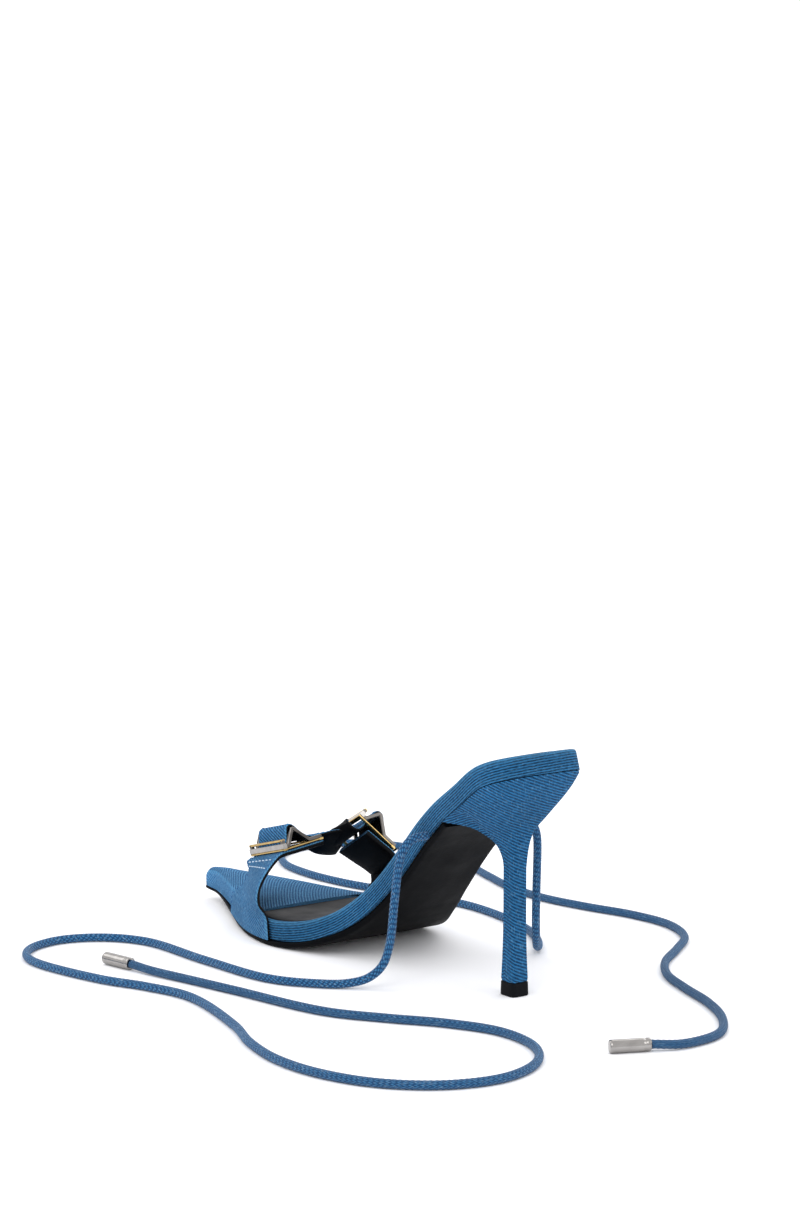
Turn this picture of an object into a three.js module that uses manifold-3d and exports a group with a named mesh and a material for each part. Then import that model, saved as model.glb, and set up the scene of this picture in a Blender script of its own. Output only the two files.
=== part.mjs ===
// Women's pointed toe sandal for the right foot: a denim-covered stiletto with two buckles and two ankle ties.
// Millimetres. +X runs to the toe, +Y to the inner side of the foot, +Z up.
// The origin is the centre of the heel tip, where it stands on the floor.
import * as THREE from 'three';
import { mergeVertices } from 'three/addons/utils/BufferGeometryUtils.js';
import Module from 'manifold-3d';

const wasm = await Module();
wasm.setup();

const CLEARANCE = 0.3;

// Driving sizes of the last and the sole
const SHOE_LENGTH = 247;
const BALL_WIDTH = 73;
const HEEL_RISE = 91;
const TOE_SPRING = 3.6;
const SOLE_THICKNESS = 2.4;
const SOLE_RIM = 1.5;
const SHANK_INSET = 1.5;

// Footbed: board, denim rand round its edge, sock lining and the covered toe
const RAND_HEIGHT = 8.5;
const RAND_WALL = 2.0;
const BOARD_THICKNESS = 6.2;
const SOCK_THICKNESS = 1.7;
const SOCK_FRONT = 167;
const TOE_WALL = 1.7;
const TOE_CROWN = 1.1;
const BOARD_FRONT = 226;

// Stiletto heel
const HEEL_CENTRE = 23.2;
const HEEL_BREAST = 45;
const STEM_LENGTH = 7.7;
const STEM_WIDTH = 7.3;
const STEM_TOP = 52;
const TIP_LENGTH = 9.2;
const TIP_WIDTH = 9.0;
const LIFT_HEIGHT = 5.6;
const STEM_CORNER = 0.4;

// Straps and buckles
const TAB_THICKNESS = 2.2;
const TAB_BASE_THICKNESS = 1.8;
const STRAP_THICKNESS = 1.5;
const BUCKLE_WIDTH = 24.5;
const BUCKLE_LENGTH = 0.3 * BALL_WIDTH;
const BUCKLE_CREST = 0.32 * BUCKLE_LENGTH;
const STRAP_PLAY = 1.25;
const STRAP_WIDTH = BUCKLE_WIDTH - 2 * STRAP_PLAY;
const RAIL = 1.7;
const PLATE_THICKNESS = 0.9;
const PLATE_FACE = -0.7;
const FRAME_BAR = 2.2;
const END_BAR = 2.4;
const TOP_BAR = 1.1;
const VAMP_HEIGHT = 50;

// Ankle ties
const CORD_DIAMETER = 3.5;
const CORD_SIDES = 8;
const CORD_STEPS = 78;
const TAG_LENGTH = 16;
const TAG_DIAMETER = 5.2;

// Height of the footbed's underside: shares of the heel rise and of the toe spring, from the back to the toe
const PROFILE = [
  { x: 0.0, heel: 1.0, toe: 0 },
  { x: 0.056, heel: 0.945, toe: 0 },
  { x: 0.113, heel: 0.845, toe: 0 },
  { x: 0.182, heel: 0.735, toe: 0 },
  { x: 0.243, heel: 0.614, toe: 0 },
  { x: 0.304, heel: 0.462, toe: 0 },
  { x: 0.364, heel: 0.307, toe: 0 },
  { x: 0.425, heel: 0.168, toe: 0 },
  { x: 0.478, heel: 0.078, toe: 0 },
  { x: 0.526, heel: 0.029, toe: 0 },
  { x: 0.575, heel: 0.006, toe: 0 },
  { x: 0.61, heel: 0, toe: 0 },
  { x: 0.68, heel: 0, toe: 0 },
  { x: 0.74, heel: 0, toe: 0.25 },
  { x: 0.81, heel: 0, toe: 0.65 },
  { x: 0.9, heel: 0, toe: 0.93 },
  { x: 1.0, heel: 0, toe: 1.0 },
];

// Outline of the footbed seen from above: distances from the long axis, as shares of the ball width
const OUTLINE = [
  { x: 0.0, inner: 0.055, outer: 0.055 },
  { x: 0.0015, inner: 0.165, outer: 0.13 },
  { x: 0.008, inner: 0.25, outer: 0.2 },
  { x: 0.024, inner: 0.312, outer: 0.258 },
  { x: 0.055, inner: 0.338, outer: 0.298 },
  { x: 0.1, inner: 0.335, outer: 0.322 },
  { x: 0.182, inner: 0.286, outer: 0.333 },
  { x: 0.283, inner: 0.228, outer: 0.347 },
  { x: 0.364, inner: 0.217, outer: 0.4 },
  { x: 0.445, inner: 0.266, outer: 0.492 },
  { x: 0.526, inner: 0.365, outer: 0.562 },
  { x: 0.607, inner: 0.424, outer: 0.568 },
  { x: 0.668, inner: 0.402, outer: 0.498 },
  { x: 0.729, inner: 0.345, outer: 0.39 },
  { x: 0.81, inner: 0.237, outer: 0.256 },
  { x: 0.891, inner: 0.128, outer: 0.137 },
  { x: 0.947, inner: 0.062, outer: 0.066 },
  { x: 0.98, inner: 0.044, outer: 0.044 },
  { x: 0.993, inner: 0.033, outer: 0.033 },
  { x: 1.0, inner: 0.012, outer: 0.012 },
];

// The stem's growth towards the heel tip, at shares of its height
const STEM_TAPER = [
  { rise: 0, growth: 1 },
  { rise: 0.12, growth: 0.8 },
  { rise: 0.25, growth: 0.45 },
  { rise: 0.45, growth: 0.12 },
  { rise: 0.7, growth: 0 },
  { rise: 1, growth: 0 },
];

// How far the heel's wall has spread from the stem to the seat, at shares of the height between them
const HEEL_FLARE = [
  { rise: 0.0, back: 0.0, breast: 0.0 },
  { rise: 0.12, back: 0.022, breast: 0.01 },
  { rise: 0.22, back: 0.05, breast: 0.025 },
  { rise: 0.32, back: 0.1, breast: 0.05 },
  { rise: 0.42, back: 0.2, breast: 0.08 },
  { rise: 0.52, back: 0.36, breast: 0.125 },
  { rise: 0.63, back: 0.53, breast: 0.2 },
  { rise: 0.74, back: 0.7, breast: 0.31 },
  { rise: 0.86, back: 0.86, breast: 0.46 },
  { rise: 0.95, back: 0.955, breast: 0.7 },
  { rise: 1.0, back: 1.0, breast: 1.0 },
];

// Cross-section of the rand: depth in from the outline as a share of its wall, height as a share of its height
const RAND_SECTION = [
  { depth: 0, height: 0 },
  { depth: 0, height: 0.85 },
  { depth: 0.3, height: 1 },
  { depth: 0.75, height: 1 },
  { depth: 1, height: 0.93 },
  { depth: 1, height: 0 },
];

// Tab foot rows: height over the board's underside in shares of the rand height, edges in shares of shoe length
const INNER_FOOT = [
  { height: 0, rear: 0.609, front: 0.797 },
  { height: 0.55, rear: 0.611, front: 0.795 },
  { height: 1.14, rear: 0.616, front: 0.79 },
];
const OUTER_FOOT = [
  { height: 0, rear: 0.5, front: 0.692 },
  { height: 0.55, rear: 0.508, front: 0.692 },
  { height: 1.14, rear: 0.52, front: 0.69 },
];

// Free rows of the tabs, from the foot up: shares of shoe length, ball width and vamp height
const INNER_RISE = [
  { rear: [0.627, 0.488, 0.35], front: [0.78, 0.245, 0.36], bow: 1.6 },
  { rear: [0.643, 0.437, 0.5], front: [0.771, 0.215, 0.47], bow: 1.2 },
];
const OUTER_RISE = [
  { rear: [0.551, -0.568, 0.43], front: [0.69, -0.515, 0.3], bow: 1.6 },
  { rear: [0.578, -0.5, 0.57], front: [0.69, -0.514, 0.39], bow: 1.0 },
];

// Upper strap over one buckle: shares of the buckle's length along it, and rise over its plate as a share of its crest
const STRAP_OVER_CREST = [
  { along: 0.15, rise: 0.19 },
  { along: 0.18, rise: 0.46 },
  { along: 0.222, rise: 0.89 },
  { along: 0.262, rise: 1.19 },
  { along: 0.345, rise: 1.3 },
  { along: 0.43, rise: 1.2 },
  { along: 0.53, rise: 0.84 },
  { along: 0.64, rise: 0.46 },
  { along: 0.76, rise: 0.25 },
  { along: 0.9, rise: 0.18 },
  { along: 1.06, rise: 0.18 },
];
// The strap's way under the outer buckle's near bar and up to its crest, in the same shares. Its front edge hangs
// lower by the drop.
const STRAP_ENTRY = [
  { along: -0.08, rise: -0.86, drop: 0.5 },
  { along: 0.08, rise: -0.86, drop: 0.5 },
  { along: 0.165, rise: -0.72, drop: 0.4 },
  { along: 0.203, rise: -0.3, drop: 0.15 },
  { along: 0.212, rise: 0.3 },
];
// Between the buckles: the middle of the strap in shares, and its direction from the rear edge to the front
const STRAP_BETWEEN = [
  { middle: [0.698, -0.168, 0.741], across: [0.789, -0.159, -0.594] },
  { middle: [0.683, -0.253, 0.746], across: [0.721, -0.264, -0.642] },
];

// Where each buckle lies: its rear inner corner in shares, and the directions across and along the strap
const BUCKLES = {
  inner: { corner: [0.668, 0.21, 0.766], across: [0.967, 0, -0.255], along: [0, -0.99, 0.137] },
  outer: { corner: [0.636, -0.285, 1.012], across: [0.887, -0.075, -0.452], along: [-0.44, -0.59, -0.68] },
};

// Centre lines of the ties, chosen by hand: out of the sole seam, down to the floor and along it
const INNER_TIE = [
  [32, 19.8, 62], [32, 22.4, 62.1], [32.1, 25.6, 61.8], [32.3, 28.6, 60.6], [32.6, 30.9, 58.2], [33, 32.3, 54.6],
  [33.5, 33.1, 50], [35, 34.2, 34], [36.4, 35.2, 19], [38.5, 37.4, 9.8], [42.2, 41.8, 4.6], [47.5, 48.5, 2.3],
  [57, 58, 1.85], [74, 68, 1.85], [117, 72, 1.85], [160, 74, 1.85],
  [177, 85, 1.85], [184, 102, 1.85], [178, 120, 1.85], [161, 130, 1.85], [116, 124, 1.85],
  [93, 115, 1.85], [70, 110, 1.85], [22, 120, 1.85], [-2, 129, 1.85], [-27, 134, 1.85],
  [-52, 132, 1.85], [-75, 122, 1.85], [-91, 104, 1.85], [-96, 82, 1.85], [-88, 61, 1.85], [-70, 47, 1.85],
  [-46, 44, 1.85], [-24, 53, 1.85], [-4, 67, 1.85], [18, 80, 1.85], [67, 90, 1.85],
  [92, 95, 1.85], [114, 100, 2.1], [126, 102, 2.65],
];
const OUTER_TIE = [
  [32, -25.1, 62.2], [32, -28.2, 62.2], [32.1, -31.7, 61.8], [32.3, -34.7, 60.6], [32.6, -37, 58.2], [33, -38.4, 54.6],
  [33.6, -39.2, 50], [35.5, -40.4, 34], [37.3, -41.6, 19], [40, -44, 9.8], [44.6, -48.2, 4.6], [51.2, -54.6, 2.3],
  [64, -64, 1.85], [84, -73, 1.85], [131, -80, 1.85], [179, -69, 1.85],
  [204, -63, 1.85], [230, -61, 1.85], [256, -65, 1.85], [277, -79, 1.85], [284, -102, 1.85], [274, -124, 1.85],
  [252, -136, 1.85], [200, -133, 1.85], [175, -126, 1.85], [150, -119, 1.85], [124, -117, 1.85],
  [98, -121, 1.85], [73, -127, 1.85], [49, -127, 1.85], [28, -117, 1.85], [13, -99, 1.85], [-1, -80, 1.85],
  [-18, -66, 1.85], [-39, -57, 1.85], [-61, -49, 1.85], [-82, -37, 1.85], [-98, -20, 1.85], [-101, 1, 2.1],
  [-96, 12, 2.65],
];

const denim = new THREE.MeshStandardMaterial({ color: 0x33639b, roughness: 0.9 });
const blackLeather = new THREE.MeshStandardMaterial({ color: 0x17181b, roughness: 0.55 });
const blackRubber = new THREE.MeshStandardMaterial({ color: 0x1b1c20, roughness: 0.45 });
const board = new THREE.MeshStandardMaterial({ color: 0x8d7a5f, roughness: 0.9 });
const metal = new THREE.MeshStandardMaterial({ color: 0xc9b98f, roughness: 0.2, metalness: 1 });
const cordDenim = new THREE.MeshStandardMaterial({ color: 0x3b6ea6, roughness: 0.9 });

// Monotone cubic through one column of a table, so that flat rows stay flat
function column(rows, at, value) {
  const xs = rows.map(at);
  const ys = rows.map(value);
  const last = xs.length - 1;
  const slopes = xs.slice(1).map((x, i) => (ys[i + 1] - ys[i]) / (x - xs[i]));
  const tangents = ys.map((_, i) => {
    if (i === 0) return slopes[0];
    if (i === last) return slopes[last - 1];
    if (slopes[i - 1] * slopes[i] <= 0) return 0;
    return (2 * slopes[i - 1] * slopes[i]) / (slopes[i - 1] + slopes[i]);
  });
  return (x) => {
    let i = xs.findIndex((right) => right >= x) - 1;
    if (x <= xs[0]) i = 0;
    if (x >= xs[last]) i = last - 1;
    const width = xs[i + 1] - xs[i];
    const t = THREE.MathUtils.clamp((x - xs[i]) / width, 0, 1);
    const keepStart = (1 + 2 * t) * (1 - t) ** 2;
    const keepEnd = t * t * (3 - 2 * t);
    const pull = t * (1 - t) ** 2 * width * tangents[i] - t * t * (1 - t) * width * tangents[i + 1];
    return keepStart * ys[i] + keepEnd * ys[i + 1] + pull;
  };
}

const heelShare = column(PROFILE, (row) => row.x, (row) => row.heel);
const toeShare = column(PROFILE, (row) => row.x, (row) => row.toe);

// Height of the board's underside over the floor, at a distance from the back of the seat
function underside(x) {
  const share = x / SHOE_LENGTH;
  return CLEARANCE + SOLE_THICKNESS + HEEL_RISE * heelShare(share) + TOE_SPRING * toeShare(share);
}

// A point of the shoe: distance from the back, distance from the long axis, height square to the footbed
function onFootbed(x, y, height) {
  const step = 0.5;
  const slope = Math.atan2(underside(x + step) - underside(x - step), 2 * step);
  return new THREE.Vector3(x - height * Math.sin(slope), y, underside(x) + height * Math.cos(slope));
}

function outlineCurve(side) {
  const points = OUTLINE.map((row) => new THREE.Vector3(row.x * SHOE_LENGTH, row[side] * BALL_WIDTH, 0));
  return new THREE.CatmullRomCurve3(points, false, 'centripetal');
}
const outlines = { inner: outlineCurve('inner'), outer: outlineCurve('outer') };

// The curve's own parameter at a distance from the back, found by halving
function parameterAt(side, x) {
  let low = 0;
  let high = 1;
  for (let i = 0; i < 30; i += 1) {
    const middle = (low + high) / 2;
    if (outlines[side].getPoint(middle).x < x) low = middle;
    else high = middle;
  }
  return (low + high) / 2;
}

// A point of the outline, moved in by a distance, with y signed for its side
function edgePoint(side, parameter, inset) {
  const point = outlines[side].getPoint(parameter);
  const tangent = outlines[side].getTangent(parameter);
  const sign = side === 'inner' ? 1 : -1;
  return { x: point.x + inset * tangent.y, y: sign * (point.y - inset * tangent.x) };
}

function edgeWidth(side, x) {
  return outlines[side].getPoint(parameterAt(side, x)).y;
}

// A closed mesh from rings of equal length, its ends closed by strips between a ring's facing points
function solidFromRings(rings) {
  const count = rings[0].length;
  const positions = rings.flat().flatMap((point) => [point.x, point.y, point.z]);
  const index = [];
  for (let k = 0; k + 1 < rings.length; k += 1) {
    for (let i = 0; i < count; i += 1) {
      const a = k * count + i;
      const b = k * count + ((i + 1) % count);
      index.push(a, b, b + count, a, b + count, a + count);
    }
  }
  const cap = (start, flip) => {
    for (let i = 0; i + 1 < count / 2; i += 1) {
      const quad = [start + i, start + i + 1, start + count - 2 - i, start + count - 1 - i];
      const faces = [[quad[0], quad[3], quad[2]], [quad[0], quad[2], quad[1]]];
      faces.forEach(([a, b, c]) => {
        if (a !== b && b !== c && a !== c) index.push(...(flip ? [a, c, b] : [a, b, c]));
      });
    }
  };
  cap(0, false);
  cap((rings.length - 1) * count, true);
  return outward(positions, index);
}

// Turns all faces outwards, by the sign of the enclosed volume
function outward(positions, index) {
  const corner = (i) => new THREE.Vector3().fromArray(positions, index[i] * 3);
  let volume = 0;
  for (let i = 0; i < index.length; i += 3) {
    volume += corner(i).dot(corner(i + 1).cross(corner(i + 2)));
  }
  const faces = volume > 0 ? index : index.slice().reverse();
  const geometry = new THREE.BufferGeometry();
  geometry.setAttribute('position', new THREE.Float32BufferAttribute(positions, 3));
  geometry.setIndex(faces);
  return geometry;
}

function toManifold(geometry) {
  const bare = geometry.clone();
  bare.deleteAttribute('normal');
  bare.deleteAttribute('uv');
  const merged = mergeVertices(bare.index ? bare.toNonIndexed() : bare, 1e-4);
  const vertProperties = new Float32Array(merged.attributes.position.array);
  const triVerts = new Uint32Array(merged.index.array);
  return new wasm.Manifold(new wasm.Mesh({ numProp: 3, vertProperties, triVerts }));
}

function fromManifold(solid) {
  const mesh = solid.getMesh();
  const geometry = new THREE.BufferGeometry();
  geometry.setAttribute('position', new THREE.Float32BufferAttribute(mesh.vertProperties, 3));
  geometry.setIndex(Array.from(mesh.triVerts));
  return geometry;
}

// Stations along both sides at once, from one distance to another, evenly spread over the outline's rows
function stations(from, to, count) {
  const spread = (side) => {
    const [start, end] = [parameterAt(side, from), parameterAt(side, to)];
    return Array.from({ length: count + 1 }, (_, i) => THREE.MathUtils.lerp(start, end, i / count));
  };
  const outer = spread('outer');
  return spread('inner').map((inner, i) => ({ inner, outer: outer[i] }));
}

// A layer of the footbed. Its section rows give depth in from the edge, height, and the way to the middle.
function layer({ from, to, count, top, bottom }) {
  const rings = stations(from, to, count).map((station) => {
    const x = outlines.inner.getPoint(station.inner).x;
    const pair = ({ inset, height, across = 0 }) => {
      const left = edgePoint('inner', station.inner, inset(x));
      const right = edgePoint('outer', station.outer, inset(x));
      const pick = (t) => {
        const { lerp } = THREE.MathUtils;
        return onFootbed(lerp(left.x, right.x, t), lerp(left.y, right.y, t), height(x));
      };
      return [pick(across / 2), pick(1 - across / 2)];
    };
    const [upper, lower] = [top.map(pair), bottom.map(pair)];
    return [
      ...upper.map(([left]) => left),
      ...upper.map(([, right]) => right).reverse(),
      ...lower.map(([, right]) => right),
      ...lower.map(([left]) => left).reverse(),
    ];
  });
  return solidFromRings(rings);
}

const always = (value) => () => value;

// Leather outsole: a rim under the forefoot, set back under the shank, flat where the ball stands
function outsole() {
  const [waistEnd, ballStart] = [0.42 * SHOE_LENGTH, 0.52 * SHOE_LENGTH];
  const slim = (x) => THREE.MathUtils.smoothstep(x, 0.76 * SHOE_LENGTH, 0.97 * SHOE_LENGTH);
  const rim = (x) => {
    const forward = THREE.MathUtils.smoothstep(x, waistEnd, ballStart);
    return THREE.MathUtils.lerp(SHANK_INSET, -SOLE_RIM * (1 - 0.9 * slim(x)), forward);
  };
  const bevel = (x) => rim(x) + 0.35 * SOLE_THICKNESS;
  const face = -CLEARANCE;
  const down = (share) => (x) => face - share * SOLE_THICKNESS * (1 - 0.45 * slim(x));
  return layer({
    from: HEEL_BREAST + 3 * CLEARANCE,
    to: SHOE_LENGTH,
    count: 44,
    top: [{ inset: rim, height: always(face) }, { inset: bevel, height: always(face) }],
    bottom: [
      { inset: rim, height: down(0.55) },
      { inset: bevel, height: down(1) },
    ],
  });
}

const coreInset = always(RAND_WALL + 1.5 * CLEARANCE);
const boardTop = CLEARANCE + BOARD_THICKNESS;

function insoleBoard() {
  const edge = (height) => ({ inset: coreInset, height: always(height) });
  return layer({ from: 0, to: BOARD_FRONT, count: 34, top: [edge(boardTop)], bottom: [edge(CLEARANCE)] });
}

function sockLining() {
  const bottom = boardTop + CLEARANCE;
  const bevel = always(RAND_WALL + CLEARANCE + 0.5 * SOCK_THICKNESS);
  return layer({
    from: 0,
    to: SOCK_FRONT,
    count: 32,
    top: [
      { inset: coreInset, height: always(bottom + 0.6 * SOCK_THICKNESS) },
      { inset: bevel, height: always(bottom + SOCK_THICKNESS) },
    ],
    bottom: [
      { inset: coreInset, height: always(bottom) },
      { inset: bevel, height: always(bottom) },
    ],
  });
}

// Denim band wrapped round the board's edge, from the toe cover round the seat and back
function rand() {
  const path = stations(0, SOCK_FRONT, 38);
  const ring = (side, parameter) => RAND_SECTION.map(({ depth, height }) => {
    const point = edgePoint(side, parameter, depth * RAND_WALL);
    return onFootbed(point.x, point.y, height * RAND_HEIGHT);
  });
  return solidFromRings([
    ...path.map((station) => ring('inner', station.inner)).reverse(),
    ...path.map((station) => ring('outer', station.outer)),
  ]);
}

// Pointed denim toe: a hollow cap over the front of the board
function toeCover() {
  const rear = SOCK_FRONT + CLEARANCE;
  const fall = (x, from) => THREE.MathUtils.smoothstep(x, from * SHOE_LENGTH, SHOE_LENGTH);
  const nose = (x) => 1 - 0.15 * fall(x, 0.94) - 0.3 * fall(x, 0.98);
  const shoulder = (share) => ({ inset: always(share * 0.3 * TOE_WALL), height: (x) => nose(x) * RAND_HEIGHT });
  const crown = (across, share) => ({
    inset: always(0.3 * TOE_WALL),
    height: (x) => nose(x) * RAND_HEIGHT + share * TOE_CROWN,
    across,
  });
  const base = (across) => ({ inset: always(0), height: always(0), across });
  const outer = layer({
    from: rear,
    to: SHOE_LENGTH,
    count: 18,
    top: [
      { inset: always(0), height: (x) => 0.84 * nose(x) * RAND_HEIGHT },
      shoulder(1),
      crown(0.33, 0.6),
      crown(0.7, 1),
    ],
    bottom: [base(0), base(0.1), base(0.33), base(0.7)],
  });
  const edge = (height) => ({ inset: always(TOE_WALL), height: always(height) });
  const hollow = layer({
    from: rear - 2 * RAND_WALL,
    to: BOARD_FRONT + CLEARANCE,
    count: 16,
    top: [edge(boardTop + CLEARANCE)],
    bottom: [edge(-RAND_WALL)],
  });
  return fromManifold(toManifold(outer).subtract(toManifold(hollow)));
}

const stemGrowth = column(STEM_TAPER, (row) => row.rise, (row) => row.growth);

// A point of the stem's rounded square section, at an angle from the toe direction and a height
function onStem(angle, height) {
  const growth = stemGrowth(height / STEM_TOP);
  const halfLength = THREE.MathUtils.lerp(STEM_LENGTH, TIP_LENGTH, growth) / 2;
  const halfWidth = THREE.MathUtils.lerp(STEM_WIDTH, TIP_WIDTH, growth) / 2;
  const round = (value) => Math.sign(value) * Math.abs(value) ** STEM_CORNER;
  const x = HEEL_CENTRE + halfLength * round(Math.cos(angle));
  return new THREE.Vector3(x, halfWidth * round(Math.sin(angle)), height);
}

// Denim-covered heel: a flared block under the seat that draws in to the stiletto stem
function heel() {
  const seat = stations(0, HEEL_BREAST, 12);
  const inner = seat.map((station) => edgePoint('inner', station.inner, 0));
  const outer = seat.map((station) => edgePoint('outer', station.outer, 0));
  const [left, right] = [inner.at(-1), outer.at(-1)];
  const breast = [0.2, 0.4, 0.6, 0.8].map((t) => ({
    x: HEEL_BREAST,
    y: THREE.MathUtils.lerp(left.y, right.y, t),
  }));
  const seatRing = [...inner, ...breast, ...outer.reverse()];
  const middle = HEEL_BREAST / 2;
  const spokes = seatRing.map(({ x, y }) => {
    const wide = edgeWidth(y > 0 ? 'inner' : 'outer', middle);
    const angle = Math.atan2(y / wide, (x - middle) / middle);
    const forward = THREE.MathUtils.smoothstep(x, middle, HEEL_BREAST);
    return { top: onFootbed(x, y, -CLEARANCE), angle, forward };
  });
  const backFlare = column(HEEL_FLARE, (row) => row.rise, (row) => row.back);
  const breastFlare = column(HEEL_FLARE, (row) => row.rise, (row) => row.breast);
  const flared = HEEL_FLARE.slice(1).reverse().map(({ rise }) => spokes.map(({ top, angle, forward }) => {
    const spread = THREE.MathUtils.lerp(backFlare(rise), breastFlare(rise), forward);
    const point = onStem(angle, STEM_TOP).lerp(top, spread);
    point.z = THREE.MathUtils.lerp(STEM_TOP, top.z, rise);
    return point;
  }));
  const foot = LIFT_HEIGHT + CLEARANCE;
  const heights = [1, 0.75, 0.5, 0.3, 0.15, 0].map((t) => THREE.MathUtils.lerp(foot, STEM_TOP, t));
  const stem = heights.map((height) => spokes.map(({ angle }) => onStem(angle, height)));
  return solidFromRings([...flared, ...stem]);
}

function topLift() {
  const sides = 24;
  const ring = (height) => Array.from({ length: sides }, (_, i) => {
    return onStem((2 * Math.PI * (i + 0.5)) / sides, height);
  });
  return solidFromRings([ring(0), ring(LIFT_HEIGHT)]);
}

function fromShares([x, y, z]) {
  return new THREE.Vector3(x * SHOE_LENGTH, y * BALL_WIDTH, z * VAMP_HEIGHT);
}

// A buckle's own frame: across the strap from its rear edge, along it from its inner side, and out of its face
function buckleFrame({ corner, across, along }) {
  const acrossWay = new THREE.Vector3(...across).normalize();
  const outWay = new THREE.Vector3(...along).cross(acrossWay).normalize();
  const alongWay = acrossWay.clone().cross(outWay);
  const start = fromShares(corner);
  const point = (a, b, c) => start.clone()
    .addScaledVector(acrossWay, a)
    .addScaledVector(alongWay, b)
    .addScaledVector(outWay, c);
  return { acrossWay, outWay, point };
}
const frames = { inner: buckleFrame(BUCKLES.inner), outer: buckleFrame(BUCKLES.outer) };

// A strap: rows of points across its outer face, joined by smooth curves, with its thickness laid inwards
const STRAP_COLUMNS = 6;
function strapSolid(rows, count, thickness) {
  const spread = Array.from({ length: STRAP_COLUMNS + 1 }, (_, i) => i);
  const curves = spread.map((i) => {
    return new THREE.CatmullRomCurve3(rows.map((row) => row[i]), false, 'centripetal');
  });
  const grid = Array.from({ length: count + 1 }, (_, k) => curves.map((curve) => curve.getPoint(k / count)));
  return solidFromRings(grid.map((row, k) => {
    const [behind, ahead] = [grid[Math.max(k - 1, 0)], grid[Math.min(k + 1, count)]];
    const lining = row.map((point, i) => {
      const way = ahead[i].clone().sub(behind[i]);
      const over = row[Math.min(i + 1, STRAP_COLUMNS)].clone().sub(row[Math.max(i - 1, 0)]);
      return point.clone().addScaledVector(over.cross(way).normalize(), thickness(k / count));
    });
    return [...row, ...lining.reverse()];
  }));
}

// A row across a strap between two points, bowed outwards from the foot
function freeRow({ rear, front, bow = 0 }) {
  const [start, end] = [fromShares(rear), fromShares(front)];
  const outWay = new THREE.Vector3(0, start.y, 0.5 * VAMP_HEIGHT * rear[2]).normalize();
  return Array.from({ length: STRAP_COLUMNS + 1 }, (_, i) => {
    const t = i / STRAP_COLUMNS;
    return start.clone().lerp(end, t).addScaledVector(outWay, bow * Math.sin(Math.PI * t));
  });
}

// A row of a tab's foot, which follows the outline outside the rand
function footRow(side, { height, rear, front }) {
  return Array.from({ length: STRAP_COLUMNS + 1 }, (_, i) => {
    const x = THREE.MathUtils.lerp(rear, front, i / STRAP_COLUMNS) * SHOE_LENGTH;
    const point = edgePoint(side, parameterAt(side, x), -(TAB_BASE_THICKNESS + 2 * CLEARANCE));
    return onFootbed(point.x, point.y, height * RAND_HEIGHT);
  });
}

// A row across a strap at a buckle, at a height over its plate that drops towards the front edge
function buckleRow(side, along, height, margin, drop = 0) {
  return Array.from({ length: STRAP_COLUMNS + 1 }, (_, i) => {
    const share = i / STRAP_COLUMNS;
    const across = THREE.MathUtils.lerp(margin, BUCKLE_WIDTH - margin, share);
    return frames[side].point(across, along * BUCKLE_LENGTH, height - share * drop);
  });
}

// A row of the strap over a buckle, with its rise as a share of the crest
function crestRow(side, { along, rise, drop = 0 }) {
  return buckleRow(side, along, rise * BUCKLE_CREST, STRAP_PLAY, drop * BUCKLE_CREST);
}

// A row of the strap between the buckles
function betweenRow({ middle, across }) {
  const way = new THREE.Vector3(...across).normalize();
  return Array.from({ length: STRAP_COLUMNS + 1 }, (_, i) => {
    return fromShares(middle).addScaledVector(way, (i / STRAP_COLUMNS - 0.5) * STRAP_WIDTH);
  });
}

// Each tab: its rows, its places under the buckle as shares of the buckle's length, its thickness there, and how far
// it hangs under the plate and drops to the front towards the buckle's inner side
const INNER_TAB = {
  foot: INNER_FOOT,
  rise: INNER_RISE,
  underBuckle: [-0.16, 0, 0.3, 0.65, 1],
  folded: TAB_THICKNESS,
  sink: 0,
  drop: 0,
};
const OUTER_TAB = {
  foot: OUTER_FOOT,
  rise: OUTER_RISE,
  underBuckle: [1.1, 0.95, 0.7, 0.5, 0.34],
  folded: 1.2 * TAB_THICKNESS,
  sink: 1.7,
  drop: 2.6,
};

const tabFace = PLATE_FACE - PLATE_THICKNESS - CLEARANCE;
// The tabs drop away from the plates where they leave them
const tabDip = (along) => 5 * (Math.max(0, -along) + Math.max(0, along - 1));

// A tab: up from the sole seam outside the rand, and on under its buckle
function tab(side, { foot, rise, underBuckle, folded, sink, drop }) {
  const rows = [
    ...foot.map((row) => footRow(side, row)),
    ...rise.map(freeRow),
    ...underBuckle.map((along) => {
      const height = tabFace - tabDip(along) - sink * (1 - along);
      return buckleRow(side, along, height, -CLEARANCE, drop * (1 - along));
    }),
  ];
  const thickness = (share) => {
    const grown = THREE.MathUtils.smoothstep(share, foot.length / rows.length, 0.75);
    return THREE.MathUtils.lerp(TAB_BASE_THICKNESS, folded, grown) * (side === 'inner' ? 1 : -1);
  };
  return strapSolid(rows, 24, thickness);
}

// The strap between: over one buckle's crest, across the foot and over the other's
function vampStrap() {
  const rows = [
    ...STRAP_OVER_CREST.map((row) => crestRow('inner', row)),
    ...STRAP_BETWEEN.map(betweenRow),
    ...[...STRAP_ENTRY, ...STRAP_OVER_CREST.slice(2)].map((row) => crestRow('outer', row)),
  ];
  return strapSolid(rows, 60, always(STRAP_THICKNESS));
}

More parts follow.
